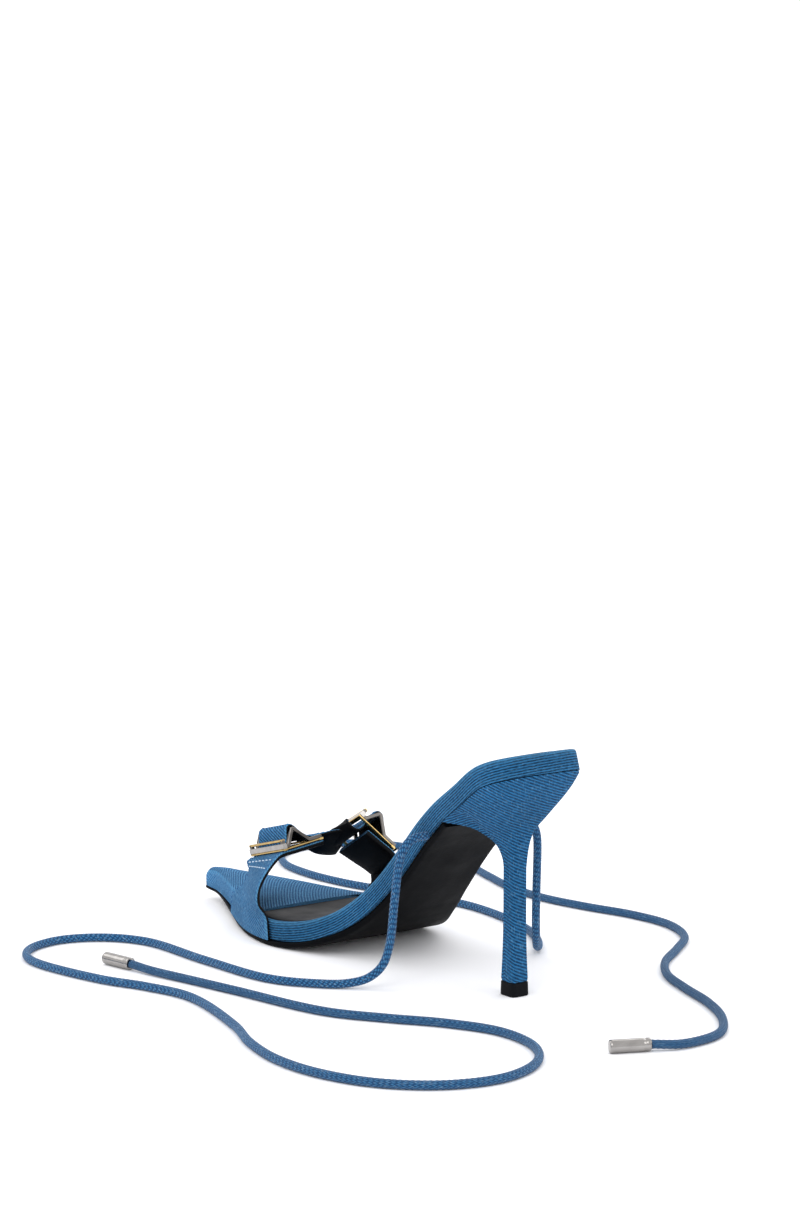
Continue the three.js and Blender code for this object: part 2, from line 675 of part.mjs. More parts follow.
// A straight bar between two points of a buckle, as wide across the strap and as thick as given
function bar(frame, start, end, width, thickness) {
  const [p, q] = [frame.point(...start), frame.point(...end)];
  const way = q.clone().sub(p);
  const length = way.length();
  way.normalize();
  const flat = Math.abs(way.dot(frame.acrossWay)) > 0.5;
  const side = flat ? frame.outWay.clone().cross(way).normalize() : frame.acrossWay.clone();
  const basis = new THREE.Matrix4().makeBasis(way, side, way.clone().cross(side));
  basis.setPosition(p.add(q).multiplyScalar(0.5));
  return toManifold(new THREE.BoxGeometry(length + 0.5 * thickness, width, thickness).applyMatrix4(basis));
}

// Buckle: a flat plate frame, two rails bent up to a crest, a bar under the strap at the crest, a solid end bar
// and a thin bar on posts over it
function buckle(side) {
  const frame = frames[side];
  const plate = PLATE_FACE - PLATE_THICKNESS / 2;
  const near = FRAME_BAR / 2;
  const far = BUCKLE_LENGTH - near;
  const railSeat = PLATE_FACE + RAIL / 2 - 0.1;
  const crestAt = 0.345 * BUCKLE_LENGTH;
  const bends = [[near, railSeat], [0.155 * BUCKLE_LENGTH, railSeat], [crestAt, BUCKLE_CREST - RAIL / 4]];
  bends.push([0.668 * BUCKLE_LENGTH, railSeat], [far, railSeat]);
  const lift = STRAP_THICKNESS + CLEARANCE;
  const pieces = [near, far].map((b) => {
    return bar(frame, [0, b, plate], [BUCKLE_WIDTH, b, plate], FRAME_BAR, PLATE_THICKNESS);
  });
  [0, BUCKLE_WIDTH].forEach((a) => {
    pieces.push(bar(frame, [a, near, plate], [a, far, plate], RAIL, PLATE_THICKNESS));
    bends.slice(1).forEach(([b, c], i) => {
      pieces.push(bar(frame, [a, ...bends[i]], [a, b, c], RAIL, RAIL));
    });
    pieces.push(bar(frame, [a, near, railSeat], [a, near, lift + RAIL / 2], RAIL, RAIL));
  });
  const endBar = PLATE_FACE + END_BAR / 2 - 0.1;
  pieces.push(bar(frame, [0, near, endBar], [BUCKLE_WIDTH, near, endBar], FRAME_BAR, END_BAR));
  const topBar = lift + RAIL - TOP_BAR / 2;
  pieces.push(bar(frame, [0, near, topBar], [BUCKLE_WIDTH, near, topBar], RAIL, TOP_BAR));
  const crestBar = BUCKLE_CREST - RAIL / 2;
  pieces.push(bar(frame, [0, crestAt, crestBar], [BUCKLE_WIDTH, crestAt, crestBar], RAIL, RAIL));
  return fromManifold(pieces.reduce((whole, piece) => whole.add(piece)));
}

// A round cord along a centre line
function cord(route) {
  const path = new THREE.CatmullRomCurve3(route.map((point) => new THREE.Vector3(...point)), false, 'centripetal');
  const outline = Array.from({ length: CORD_SIDES }, (_, i) => {
    const angle = (2 * Math.PI * i) / CORD_SIDES;
    return new THREE.Vector2(Math.cos(angle), Math.sin(angle)).multiplyScalar(CORD_DIAMETER / 2);
  });
  return new THREE.ExtrudeGeometry(new THREE.Shape(outline), { steps: CORD_STEPS, extrudePath: path });
}

// The metal tag that ends a cord, lying along its last stretch
function tagMesh(name, route) {
  const [before, last] = route.slice(-2).map((point) => new THREE.Vector3(...point));
  const way = last.clone().sub(before).setZ(0).normalize();
  const geometry = new THREE.CylinderGeometry(TAG_DIAMETER / 2, TAG_DIAMETER / 2, TAG_LENGTH, 16);
  const tag = named(name, geometry, metal);
  tag.quaternion.setFromUnitVectors(new THREE.Vector3(0, 1, 0), way);
  tag.position.copy(last).addScaledVector(way, TAG_LENGTH / 2 + CLEARANCE);
  return tag;
}

function named(name, geometry, material) {
  const mesh = new THREE.Mesh(geometry, material);
  mesh.name = name;
  return mesh;
}

const shoe = new THREE.Group();
shoe.position.x = -HEEL_CENTRE;
shoe.add(
  named('outsole', outsole(), blackRubber),
  named('insole_board', insoleBoard(), board),
  named('sock_lining', sockLining(), blackLeather),
  named('rand', rand(), denim),
  named('toe_cover', toeCover(), denim),
  named('strap_tab_inner', tab('inner', INNER_TAB), denim),
  named('strap_tab_outer', tab('outer', OUTER_TAB), denim),
  named('vamp_strap', vampStrap(), denim),
  named('buckle_inner', buckle('inner'), metal),
  named('buckle_outer', buckle('outer'), metal),
  named('heel', heel(), denim),
  named('top_lift', topLift(), blackRubber),
);

const ties = new THREE.Group();
ties.add(
  named('tie_inner', cord(INNER_TIE), cordDenim),
  named('tie_outer', cord(OUTER_TIE), cordDenim),
  tagMesh('tie_tag_inner', INNER_TIE),
  tagMesh('tie_tag_outer', OUTER_TIE),
);

const group = new THREE.Group();
group.name = 'pointed_toe_sandal';
group.add(shoe, ties);

export default group;
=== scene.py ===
"""Right women's pointed toe sandal: a denim-covered stiletto with two buckles and two long braided ties."""
import logging
import math
from dataclasses import dataclass
from enum import Enum
from typing import Callable, Optional, Sequence, Union

import bmesh
import bpy
import numpy as np
from mathutils import Euler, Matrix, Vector


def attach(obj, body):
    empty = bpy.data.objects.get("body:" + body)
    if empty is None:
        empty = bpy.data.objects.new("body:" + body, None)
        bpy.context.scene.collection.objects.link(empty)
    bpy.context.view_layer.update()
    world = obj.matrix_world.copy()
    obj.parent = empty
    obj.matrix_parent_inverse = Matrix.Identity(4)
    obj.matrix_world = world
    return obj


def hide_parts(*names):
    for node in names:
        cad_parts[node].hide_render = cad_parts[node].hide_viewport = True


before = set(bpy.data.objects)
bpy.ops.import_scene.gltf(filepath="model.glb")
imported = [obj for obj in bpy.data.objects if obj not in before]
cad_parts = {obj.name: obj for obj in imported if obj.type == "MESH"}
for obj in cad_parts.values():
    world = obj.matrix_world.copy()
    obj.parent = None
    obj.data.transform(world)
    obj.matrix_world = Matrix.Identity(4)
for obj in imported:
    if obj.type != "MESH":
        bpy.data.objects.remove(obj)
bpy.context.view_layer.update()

log = logging.getLogger("sandal")

MM = 0.001
BODY = "root"
# Distance from the back of the seat to the centre of the heel tip, where the frame's origin is
HEEL_CENTRE = 23.2
# Clearance between pieces that touch
GAP = 0.3
# Distance from the back of the seat to the breast of the heel, and to the front of the sock
BREAST = 45.0
SOCK_FRONT = 167.0
RAND_HEIGHT = 8.5
STRAP = 1.5
BUCKLE_WIDTH = 24.5
BUCKLE_LENGTH = 21.9
BUCKLE_CREST = 7.0
# Where a buckle's crest bar lies, as a share of its length
CREST_AT = 0.345
SHARP_ANGLE = math.radians(38)

Array = np.ndarray
Curve = Callable[[Array], Array]
Number = Union[float, Curve]
Socket = bpy.types.NodeSocket


class Side(Enum):
    """The two long sides of the foot, with the sign of Y on each."""

    INNER = 1
    OUTER = -1


class End(Enum):
    """How a loft's two ends are closed."""

    STRIPS = "strips"
    FACE = "face"


def linear(text: str) -> tuple[float, float, float, float]:
    """Turns an sRGB hex colour into linear values.

    Args:
        text: The colour, such as "#33639b".

    Returns:
        Linear red, green and blue, and an alpha of one.
    """
    channels = [int(text[i : i + 2], 16) / 255 for i in (1, 3, 5)]
    values = [c / 12.92 if c <= 0.04045 else ((c + 0.055) / 1.055) ** 2.4 for c in channels]
    return (values[0], values[1], values[2], 1.0)


def add_node(
    tree: bpy.types.NodeTree,
    kind: str,
    output: Union[str, int, None],
    settings: Optional[dict] = None,
    links: Optional[dict] = None,
) -> Optional[Socket]:
    """Adds one node to a material.

    Args:
        tree: The material's node tree.
        kind: The node's type, after the word ShaderNode.
        output: The output wanted, by name or number.
        settings: Values by the name of a property, or by the name or number of an input.
        links: Output sockets by the name or number of the input that each goes to.

    Returns:
        The node's output socket, if one is wanted.
    """
    node = tree.nodes.new(f"ShaderNode{kind}")
    for key, value in (settings or {}).items():
        if isinstance(key, str) and hasattr(node, key):
            setattr(node, key, value)
        else:
            node.inputs[key].default_value = value
    for key, source in (links or {}).items():
        tree.links.new(source, node.inputs[key])
    return None if output is None else node.outputs[output]


class Paint:
    """One material's nodes, added by what they draw. Places and results are sockets."""

    def __init__(self, name: str) -> None:
        """Starts an empty material."""
        self.material = bpy.data.materials.new(name)
        self.material.use_nodes = True
        self.tree = self.material.node_tree
        self.tree.nodes.clear()

    def node(self, *args, **kwargs) -> Optional[Socket]:
        """Adds one node, as add_node does."""
        return add_node(self.tree, *args, **kwargs)

    def surface(self, settings: dict, links: dict) -> None:
        """Adds the shader, with constants on its sockets and links into them, and the output."""
        shader = self.node("BsdfPrincipled", "BSDF", settings, links)
        self.node("OutputMaterial", None, None, {"Surface": shader})

    def body(self) -> Socket:
        """Places in the object's own space."""
        return self.node("TexCoord", "Object")

    def flat(self) -> Socket:
        """Places on the piece laid flat, in millimetres."""
        return self.node("UVMap", "UV", {"uv_map": "flat"})

    def turned(self, place: Socket, degrees: float) -> Socket:
        """Turns flat places by an angle."""
        return self.node("Mapping", "Vector", {"Rotation": (0, 0, math.radians(degrees))}, {"Vector": place})

    def scaled(self, place: Socket, scale: tuple[float, float, float]) -> Socket:
        """Stretches places along each axis."""
        return self.node("Mapping", "Vector", {"Scale": scale}, {"Vector": place})

    def noise(self, place: Socket, scale: float = 1.0, detail: float = 2.0, roughness: float = 0.5) -> Socket:
        """Draws a soft random cloud."""
        settings = {"Scale": scale, "Detail": detail, "Roughness": roughness}
        return self.node("TexNoise", "Fac", settings, {"Vector": place})

    def ribs(self, place: Socket, pitch: float, settings: dict) -> Socket:
        """Draws even ribs. A wave of scale 1 repeats every pi / 10."""
        return self.node("TexWave", "Fac", {"Scale": math.pi / 10 / pitch, **settings}, {"Vector": place})

    def reckon(self, operation: str, *terms: Union[float, Socket]) -> Socket:
        """Reckons with numbers and sockets."""
        settings = {number: term for number, term in enumerate(terms) if isinstance(term, float)}
        links = {number: term for number, term in enumerate(terms) if not isinstance(term, float)}
        return self.node("Math", "Value", {"operation": operation, **settings}, links)

    def spread(self, source: Socket, low: float, high: float, new_low: float, new_high: float) -> Socket:
        """Moves values from an old range to a new one."""
        settings = {"From Min": low, "From Max": high, "To Min": new_low, "To Max": new_high}
        return self.node("MapRange", "Result", settings, {"Value": source})

    def mix(self, share: Socket, under: Union[str, Socket], over: str) -> Socket:
        """Mixes a hex colour over another colour, which is hex too or a socket."""
        settings, links = {"data_type": "RGBA", 7: linear(over)}, {0: share}
        if isinstance(under, str):
            settings[6] = linear(under)
        else:
            links[6] = under
        return self.node("Mix", 2, settings, links)

    def bump(self, height: Socket, strength: float, depth: float) -> Socket:
        """Raises a pattern to a depth in millimetres."""
        return self.node("Bump", "Normal", {"Strength": strength, "Distance": depth * MM}, {"Height": height})


@dataclass(frozen=True)
class Finish:
    """A finish of the shoe."""

    name: str

    def build(self) -> bpy.types.Material:
        """Builds the material."""
        paint = Paint(self.name)
        self.draw(paint)
        return paint.material

    def draw(self, paint: Paint) -> None:
        """Draws the finish into an empty material."""
        raise NotImplementedError


@dataclass(frozen=True)
class Denim(Finish):
    """Indigo cotton twill: raised warp ribs over a darker weft, matt, with pale slubs and rubbed edges."""

    weft: str = "#08263f"
    warp: str = "#327ab0"
    slub: str = "#7fb0d2"
    worn: str = "#5a9ac6"
    # True ribs are 0.6 mm apart; drawn coarser so that they show
    rib: float = 1.25
    # Angle of the ribs to the piece's length
    turn: float = 90.0
    slubs: float = 0.28

    def draw(self, paint: Paint) -> None:
        """Weaves the twill, flecks it with slubs, rubs its edges and washes it unevenly."""
        flat = paint.flat()
        ribs = paint.turned(flat, self.turn)
        wave = paint.ribs(ribs, self.rib, {"Distortion": 0.9, "Detail": 2.0, "Detail Scale": 0.8})
        yarn = paint.noise(paint.scaled(ribs, (1.9 / self.rib, 0.55 / self.rib, 1)), 1.0, 3.0, 0.65)
        picks = paint.noise(paint.scaled(flat, (0.5 / self.rib, 2.4 / self.rib, 1)))
        wash = paint.noise(paint.body(), 38.0, 3.0, 0.55)
        mottled = paint.reckon("MULTIPLY_ADD", wave, 0.75, paint.spread(yarn, 0.3, 0.7, -0.22, 0.32))
        twill = paint.mix(mottled, self.weft, self.warp)
        flecked = paint.mix(paint.spread(picks, 0.56, 0.72, 0.0, self.slubs), twill, self.slub)
        wear = paint.node("Attribute", "Fac", {"attribute_name": "wear"})
        edged = paint.mix(paint.reckon("MULTIPLY", wear, yarn), flecked, self.worn)
        tone = paint.spread(wash, 0.3, 0.7, 0.8, 1.02)
        colour = paint.node("VectorMath", "Vector", {"operation": "SCALE"}, {0: edged, "Scale": tone})
        relief = paint.bump(paint.reckon("MULTIPLY_ADD", yarn, 0.45, wave), 1.0, 0.4)
        paint.surface(
            {"Roughness": 0.9, "Specular IOR Level": 0.08, "Sheen Weight": 0.03, "Sheen Roughness": 0.5},
            {"Base Color": colour, "Normal": relief},
        )


@dataclass(frozen=True)
class Leather(Finish):
    """Tanned and dyed hide: fine pebbled grain under a thin dressing, which gives it a soft, broken shine."""

    low: str
    high: str
    roughness: float
    shine: float
    # Distance between the pores of the grain
    grain: float = 0.9
    relief: float = 0.06

    def draw(self, paint: Paint) -> None:
        """Presses the pores and rubs the dressing unevenly."""
        place = paint.body()
        cells = {"Scale": 1 / (self.grain * MM), "Randomness": 1.0}
        pores = paint.node("TexVoronoi", "Distance", cells, {"Vector": place})
        rub = paint.noise(place, 60.0, 5.0, 0.6)
        gloss = paint.spread(rub, 0.3, 0.7, self.roughness - 0.07, self.roughness + 0.1)
        colour = paint.mix(rub, self.low, self.high)
        relief = paint.bump(pores, 0.35, self.relief)
        links = {"Base Color": colour, "Roughness": gloss, "Normal": relief}
        paint.surface({"Specular IOR Level": self.shine}, links)


@dataclass(frozen=True)
class PlatedMetal(Finish):
    """Polished die-cast zinc under a plated film: mirror-like, with faint hairlines from handling."""

    film: str
    shade: str
    roughness: float = 0.17

    def draw(self, paint: Paint) -> None:
        """Draws the hairlines into colour and gloss."""
        hairlines = paint.noise(paint.scaled(paint.body(), (400, 60, 400)), 1.0, 4.0)
        gloss = paint.spread(hairlines, 0.0, 1.0, self.roughness - 0.06, self.roughness + 0.08)
        colour = paint.mix(hairlines, self.shade, self.film)
        paint.surface({"Metallic": 1.0}, {"Base Color": colour, "Roughness": gloss})


@dataclass(frozen=True)
class Braid(Finish):
    """Round braid of indigo and undyed cotton: crossing strands, matt, with pale picks along them."""

    dark: str = "#123a60"
    light: str = "#32709f"
    pale: str = "#9dbdd2"
    # Width of a strand, and its angle to the cord
    strand: float = 1.32
    lay: float = 52.0

    def draw(self, paint: Paint) -> None:
        """Crosses two lays of strands and flecks them."""
        flat = paint.flat()
        strands = [
            paint.ribs(paint.turned(flat, turn), self.strand, {"Distortion": 0.6, "Detail": 1.0})
            for turn in (-self.lay, self.lay)
        ]
        crossed = paint.reckon("MULTIPLY", *strands)
        picks = paint.noise(flat, 0.9)
        blue = paint.mix(paint.spread(crossed, 0.05, 0.6, 0.0, 1.0), self.dark, self.light)
        fibre = paint.mix(paint.spread(picks, 0.58, 0.72, 0.0, 0.4), blue, self.pale)
        paint.surface(
            {"Roughness": 0.9, "Specular IOR Level": 0.2, "Sheen Weight": 0.15},
            {"Base Color": fibre, "Normal": paint.bump(crossed, 0.8, 0.3)},
        )


@dataclass(frozen=True)
class Plain(Finish):
    """A fine-grained stuff with little pattern of its own, such as rubber, thread or fibre board."""

    low: str
    high: str
    roughness: float
    grain: float = 1.5
    relief: float = 0.05
    shine: float = 0.3

    def draw(self, paint: Paint) -> None:
        """Speckles colour and surface."""
        speckle = paint.noise(paint.body(), 1 / (self.grain * MM), 3.0)
        colour = paint.mix(speckle, self.low, self.high)
        relief = paint.bump(speckle, 0.4, self.relief)
        settings = {"Roughness": self.roughness, "Specular IOR Level": self.shine}
        paint.surface(settings, {"Base Color": colour, "Normal": relief})


@dataclass(frozen=True)
class Paper(Finish):
    """Matt white paper, which the shoe stands on in the studio."""

    colour: str

    def draw(self, paint: Paint) -> None:
        """Lays one even colour."""
        paint.surface({"Base Color": linear(self.colour), "Roughness": 0.8, "Specular IOR Level": 0.1}, {})


class Spline:
    """A smooth curve through points, whose speed follows the root of their distances."""

    def __init__(self, points: Sequence[Sequence[float]]) -> None:
        """Keeps the points, with one more before the first and after the last."""
        rows = np.asarray(points, float)
        self.count = len(rows) - 1
        self.rows = np.vstack([2 * rows[0] - rows[1], rows, 2 * rows[-1] - rows[-2]])

    def at(self, share: Array) -> Array:
        """Gives points of the curve.

        Args:
            share: Places along the curve, from 0 to 1.

        Returns:
            One point for each place.
        """
        place = np.clip(np.asarray(share, float), 0, 1) * self.count
        first = np.minimum(np.floor(place).astype(int), self.count - 1)
        t = (place - first)[..., None]
        p = [self.rows[first + i] for i in range(4)]
        gap = [np.maximum(((p[i + 1] - p[i]) ** 2).sum(-1) ** 0.25, 1e-4)[..., None] for i in range(3)]
        leave = (p[1] - p[0]) / gap[0] - (p[2] - p[0]) / (gap[0] + gap[1]) + (p[2] - p[1]) / gap[1]
        reach = (p[2] - p[1]) / gap[1] - (p[3] - p[1]) / (gap[1] + gap[2]) + (p[3] - p[2]) / gap[2]
        leave, reach = leave * gap[1], reach * gap[1]
        square = 3 * (p[2] - p[1]) - 2 * leave - reach
        cube = 2 * (p[1] - p[2]) + leave + reach
        return p[1] + t * (leave + t * (square + t * cube))

    def even(self, count: int) -> Array:
        """Gives count + 1 points at equal distances along the curve."""
        dense = self.at(np.linspace(0, 1, 60 * self.count + 1))
        run = np.concatenate([[0], np.cumsum(np.linalg.norm(np.diff(dense, axis=0), axis=1))])
        places = np.linspace(0, run[-1], count + 1)
        return np.stack([np.interp(places, run, dense[:, i]) for i in range(3)], 1)


def column(rows: Sequence[Sequence[float]], index: int) -> Curve:
    """Makes a monotone curve through one column of a table.

    Args:
        rows: The table, with the place in its first column.
        index: The column to follow.

    Returns:
        A function of the place.
    """
    xs = np.array([row[0] for row in rows], float)
    ys = np.array([row[index] for row in rows], float)
    slopes = np.diff(ys) / np.diff(xs)
    pair = slopes[:-1] * slopes[1:]
    total = slopes[:-1] + slopes[1:]
    middle = np.where(pair > 0, 2 * pair / np.where(total == 0, 1, total), 0)
    tangents = np.concatenate([[slopes[0]], middle, [slopes[-1]]])

    def value(x: Array) -> Array:
        """Gives the curve's value at x."""
        i = np.clip(np.searchsorted(xs, x) - 1, 0, len(xs) - 2)
        width = xs[i + 1] - xs[i]
        t = np.clip((x - xs[i]) / width, 0, 1)
        start = (1 + 2 * t) * (1 - t) ** 2 * ys[i] + t * (1 - t) ** 2 * width * tangents[i]
        return start + t * t * (3 - 2 * t) * ys[i + 1] - t * t * (1 - t) * width * tangents[i + 1]

    return value


def smoothstep(x: Array, low: float, high: float) -> Array:
    """Rises smoothly from 0 at low to 1 at high."""
    t = np.clip((np.asarray(x, float) - low) / (high - low), 0, 1)
    return t * t * (3 - 2 * t)


def unit(vectors: Array) -> Array:
    """Scales vectors to a length of one."""
    return vectors / np.maximum(np.linalg.norm(vectors, axis=-1, keepdims=True), 1e-9)


@dataclass
class Loft:
    """A skin over rings of points in millimetres, with flat coordinates measured along it."""

    name: str
    rings: Array
    end: End = End.STRIPS
    # Column that the flat coordinates are measured from across the rings
    middle: int = 0
    # The material of each column of faces, by number
    stuff: Optional[Sequence[int]] = None
    # How rubbed each column of points is, from 0 to 1
    wear: Optional[Array] = None
    # Whether the flat coordinates hang straight down instead
    upright: bool = False

    def build(self, materials: Sequence[bpy.types.Material]) -> bpy.types.Object:
        """Makes the mesh object.

        Args:
            materials: The object's materials, in the order of the numbers in stuff.

        Returns:
            The object, at the frame's origin.
        """
        grid = np.asarray(self.rings, float)
        count, around = grid.shape[:2]
        wrapped = np.concatenate([grid, grid[:, :1]], axis=1)
        across = np.cumsum(np.linalg.norm(np.diff(wrapped, axis=1), axis=2), axis=1)
        across = np.concatenate([np.zeros((count, 1)), across], axis=1)
        across -= across[:, self.middle : self.middle + 1]
        along = np.cumsum(np.linalg.norm(np.diff(wrapped, axis=0), axis=2), axis=0)
        along = np.concatenate([np.zeros((1, around + 1)), along], axis=0)
        faces, flats, stuff = [], [], []
        for k in range(count - 1):
            for i in range(around):
                corners = ((k, i), (k, i + 1), (k + 1, i + 1), (k + 1, i))
                faces.append([a * around + b % around for a, b in corners])
                if self.upright:
                    flats.append(self._hung(grid[k], [wrapped[a, b] for a, b in corners]))
                else:
                    flats.append([(along[a, b], across[a, b]) for a, b in corners])
                stuff.append(self.stuff[i] if self.stuff is not None else 0)
        for ring, turned in ((0, True), (count - 1, False)):
            for face in self._end_faces(around, turned):
                faces.append([ring * around + i for i in face])
                flats.append([(along[ring, i], across[ring, i]) for i in face])
                stuff.append(self.stuff[face[0]] if self.stuff is not None else 0)
        mesh = bpy.data.meshes.new(self.name)
        mesh.from_pydata((grid.reshape(-1, 3) * MM).tolist(), [], faces)
        layer = mesh.uv_layers.new(name="flat")
        layer.data.foreach_set("uv", [c for face in flats for pair in face for c in pair])
        mesh.polygons.foreach_set("material_index", stuff)
        worn = np.zeros(around) if self.wear is None else self.wear
        mesh.attributes.new("wear", "FLOAT", "POINT").data.foreach_set("value", np.tile(worn, count))
        return finish_mesh(mesh, materials)

    def _hung(self, ring: Array, corners: Sequence[Array]) -> list[tuple[float, float]]:
        """Lays a face on cloth that hangs straight down, drawn round both sides of the ring.

        Args:
            ring: The ring that the face starts from.
            corners: The face's corners.

        Returns:
            The corners' places on the cloth.
        """
        side = np.sign((np.mean(corners, axis=0) - ring.mean(axis=0)) @ np.array([-0.8, 0.6, 0.0]))
        return [(-point[2], side * (-0.6 * point[0] - 0.8 * point[1])) for point in corners]

    def _end_faces(self, around: int, turned: bool) -> list[list[int]]:
        """Lists the faces that close a ring, as numbers of its points."""
        if self.end is End.STRIPS:
            half = around // 2
            faces = [[i, i + 1, around - 2 - i, around - 1 - i] for i in range(half - 1)]
        else:
            faces = [list(range(around))]
        return [face[::-1] for face in faces] if turned else faces


def finish_mesh(mesh: bpy.types.Mesh, materials: Sequence[bpy.types.Material]) -> bpy.types.Object:
    """Turns the faces outwards, marks sharp edges, smooths the rest and makes the object."""
    cleaner = bmesh.new()
    cleaner.from_mesh(mesh)
    bmesh.ops.recalc_face_normals(cleaner, faces=cleaner.faces)
    for face in cleaner.faces:
        face.smooth = True
    for edge in cleaner.edges:
        edge.smooth = edge.calc_face_angle(0) < SHARP_ANGLE
    cleaner.to_mesh(mesh)
    cleaner.free()
    for material in materials:
        mesh.materials.append(material)
    piece = bpy.data.objects.new(mesh.name, mesh)
    bpy.context.scene.collection.objects.link(piece)
    return piece


def settle(piece: bpy.types.Object, nodes: Sequence[str] = ()) -> bpy.types.Object:
    """Makes a piece ride with the shoe, and puts it in place of CAD nodes."""
    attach(piece, BODY)
    if nodes:
        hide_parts(*nodes)
    log.info("%s: %d faces", piece.name, len(piece.data.polygons))
    return piece


@dataclass
class Row:
    """One corner of a footbed layer's section: depth in from the edge, height, and the way to the middle."""

    inset: Number
    height: Number
    across: float = 0.0


def value(number: Number, x: Array) -> Array:
    """Gives a row's size at each x, whether it is a function or one number."""
    return number(x) if callable(number) else np.full_like(x, number)


@dataclass
class Last:
    """The form that the shoe is built on: the footbed's profile and outline. Sizes in millimetres."""

    length: float = 247.0
    ball_width: float = 73.0
    heel_rise: float = 91.0
    toe_spring: float = 3.6
    sole: float = 2.4
    gap: float = GAP
    # The footbed's underside from the back to the toe: place, share of the heel rise and of the toe spring
    profile: tuple = (
        (0.0, 1.0, 0), (0.056, 0.945, 0), (0.113, 0.845, 0), (0.182, 0.735, 0), (0.243, 0.614, 0),
        (0.304, 0.462, 0), (0.364, 0.307, 0), (0.425, 0.168, 0), (0.478, 0.078, 0), (0.526, 0.029, 0),
        (0.575, 0.006, 0), (0.61, 0, 0), (0.68, 0, 0), (0.74, 0, 0.25), (0.81, 0, 0.65), (0.9, 0, 0.93),
        (1.0, 0, 1.0),
    )
    # Distances from the long axis to the inner and outer edge, as shares of the ball width
    outline: tuple = (
        (0.0, 0.055, 0.055), (0.0015, 0.165, 0.13), (0.008, 0.25, 0.2), (0.024, 0.312, 0.258),
        (0.055, 0.338, 0.298), (0.1, 0.335, 0.322), (0.182, 0.286, 0.333), (0.283, 0.228, 0.347),
        (0.364, 0.217, 0.4), (0.445, 0.266, 0.492), (0.526, 0.365, 0.562), (0.607, 0.424, 0.568),
        (0.668, 0.402, 0.498), (0.729, 0.345, 0.39), (0.81, 0.237, 0.256), (0.891, 0.128, 0.137),
        (0.947, 0.062, 0.066), (0.98, 0.044, 0.044), (0.993, 0.033, 0.033),
        (1.0, 0.012, 0.012),
    )

    def __post_init__(self) -> None:
        """Prepares the curves."""
        self._heel = column(self.profile, 1)
        self._toe = column(self.profile, 2)
        self._edges, self._dense = {}, {}
        shares = np.linspace(0, 1, 6001)
        for side, index in ((Side.INNER, 1), (Side.OUTER, 2)):
            points = [(row[0] * self.length, row[index] * self.ball_width, 0) for row in self.outline]
            self._edges[side] = Spline(points)
            self._dense[side] = (self._edges[side].at(shares)[:, 0], shares)

    def underside(self, x: Array) -> Array:
        """Height of the board's underside over the floor."""
        share = np.asarray(x, float) / self.length
        return self.gap + self.sole + self.heel_rise * self._heel(share) + self.toe_spring * self._toe(share)

    def on_footbed(self, x: Array, y: Array, height: Array) -> Array:
        """Points at a distance from the back and from the long axis, and a height square to the footbed."""
        step = 0.5
        slope = np.arctan2(self.underside(x + step) - self.underside(x - step), 2 * step)
        x = np.asarray(x, float)
        lift = self.underside(x) + height * np.cos(slope)
        return np.stack([x - height * np.sin(slope) - HEEL_CENTRE, y + 0 * x, lift], -1)

    def parameter(self, side: Side, x: Number) -> Array:
        """The outline curve's own parameter at a distance from the back."""
        xs, shares = self._dense[side]
        return np.interp(x, xs, shares)

    def edge(self, side: Side, parameter: Array, inset: Array) -> tuple[Array, Array]:
        """Points of the outline, moved in, as distances from the back and signed distances from the axis."""
        curve, step = self._edges[side], 1e-4
        point = curve.at(parameter)
        tangent = unit(curve.at(parameter + step) - curve.at(parameter - step))
        x = point[..., 0] + inset * tangent[..., 1]
        return x, side.value * (point[..., 1] - inset * tangent[..., 0])

    def edge_width(self, side: Side, x: float) -> float:
        """Distance from the long axis to the outline."""
        return float(self._edges[side].at(self.parameter(side, x))[1])

    def stations(self, start: float, end: float, count: int) -> dict[Side, Array]:
        """Parameters along both sides at once."""
        ends = {side: (self.parameter(side, start), self.parameter(side, end)) for side in Side}
        return {side: np.linspace(*pair, count + 1) for side, pair in ends.items()}

    def layer(
        self, start: float, end: float, count: int, top: Sequence[Row], bottom: Sequence[Row]
    ) -> Array:
        """A layer of the footbed.

        Args:
            start: Its back end's distance from the back of the seat.
            end: Its front end's distance.
            count: Steps along it.
            top: Its upper rows, from the edge to the middle.
            bottom: Its lower rows, from the edge to the middle.

        Returns:
            Its rings, from the inner edge over the top to the outer edge and back below.
        """
        places = self.stations(start, end, count)
        x = self._edges[Side.INNER].at(places[Side.INNER])[:, 0]

        def pair(row: Row) -> tuple[Array, Array]:
            """Gives a row's inner and outer points."""
            inset, height = value(row.inset, x), value(row.height, x)
            inner = self.edge(Side.INNER, places[Side.INNER], inset)
            outer = self.edge(Side.OUTER, places[Side.OUTER], inset)

            def pick(t: float) -> Array:
                """Gives the points at a share of the way across."""
                return self.on_footbed(*(inner[i] + (outer[i] - inner[i]) * t for i in (0, 1)), height)

            return pick(row.across / 2), pick(1 - row.across / 2)

        upper, lower = [pair(row) for row in top], [pair(row) for row in bottom]
        ring = [a for a, _ in upper] + [b for _, b in reversed(upper)]
        ring += [b for _, b in lower] + [a for a, _ in reversed(lower)]
        return np.stack(ring, axis=1)


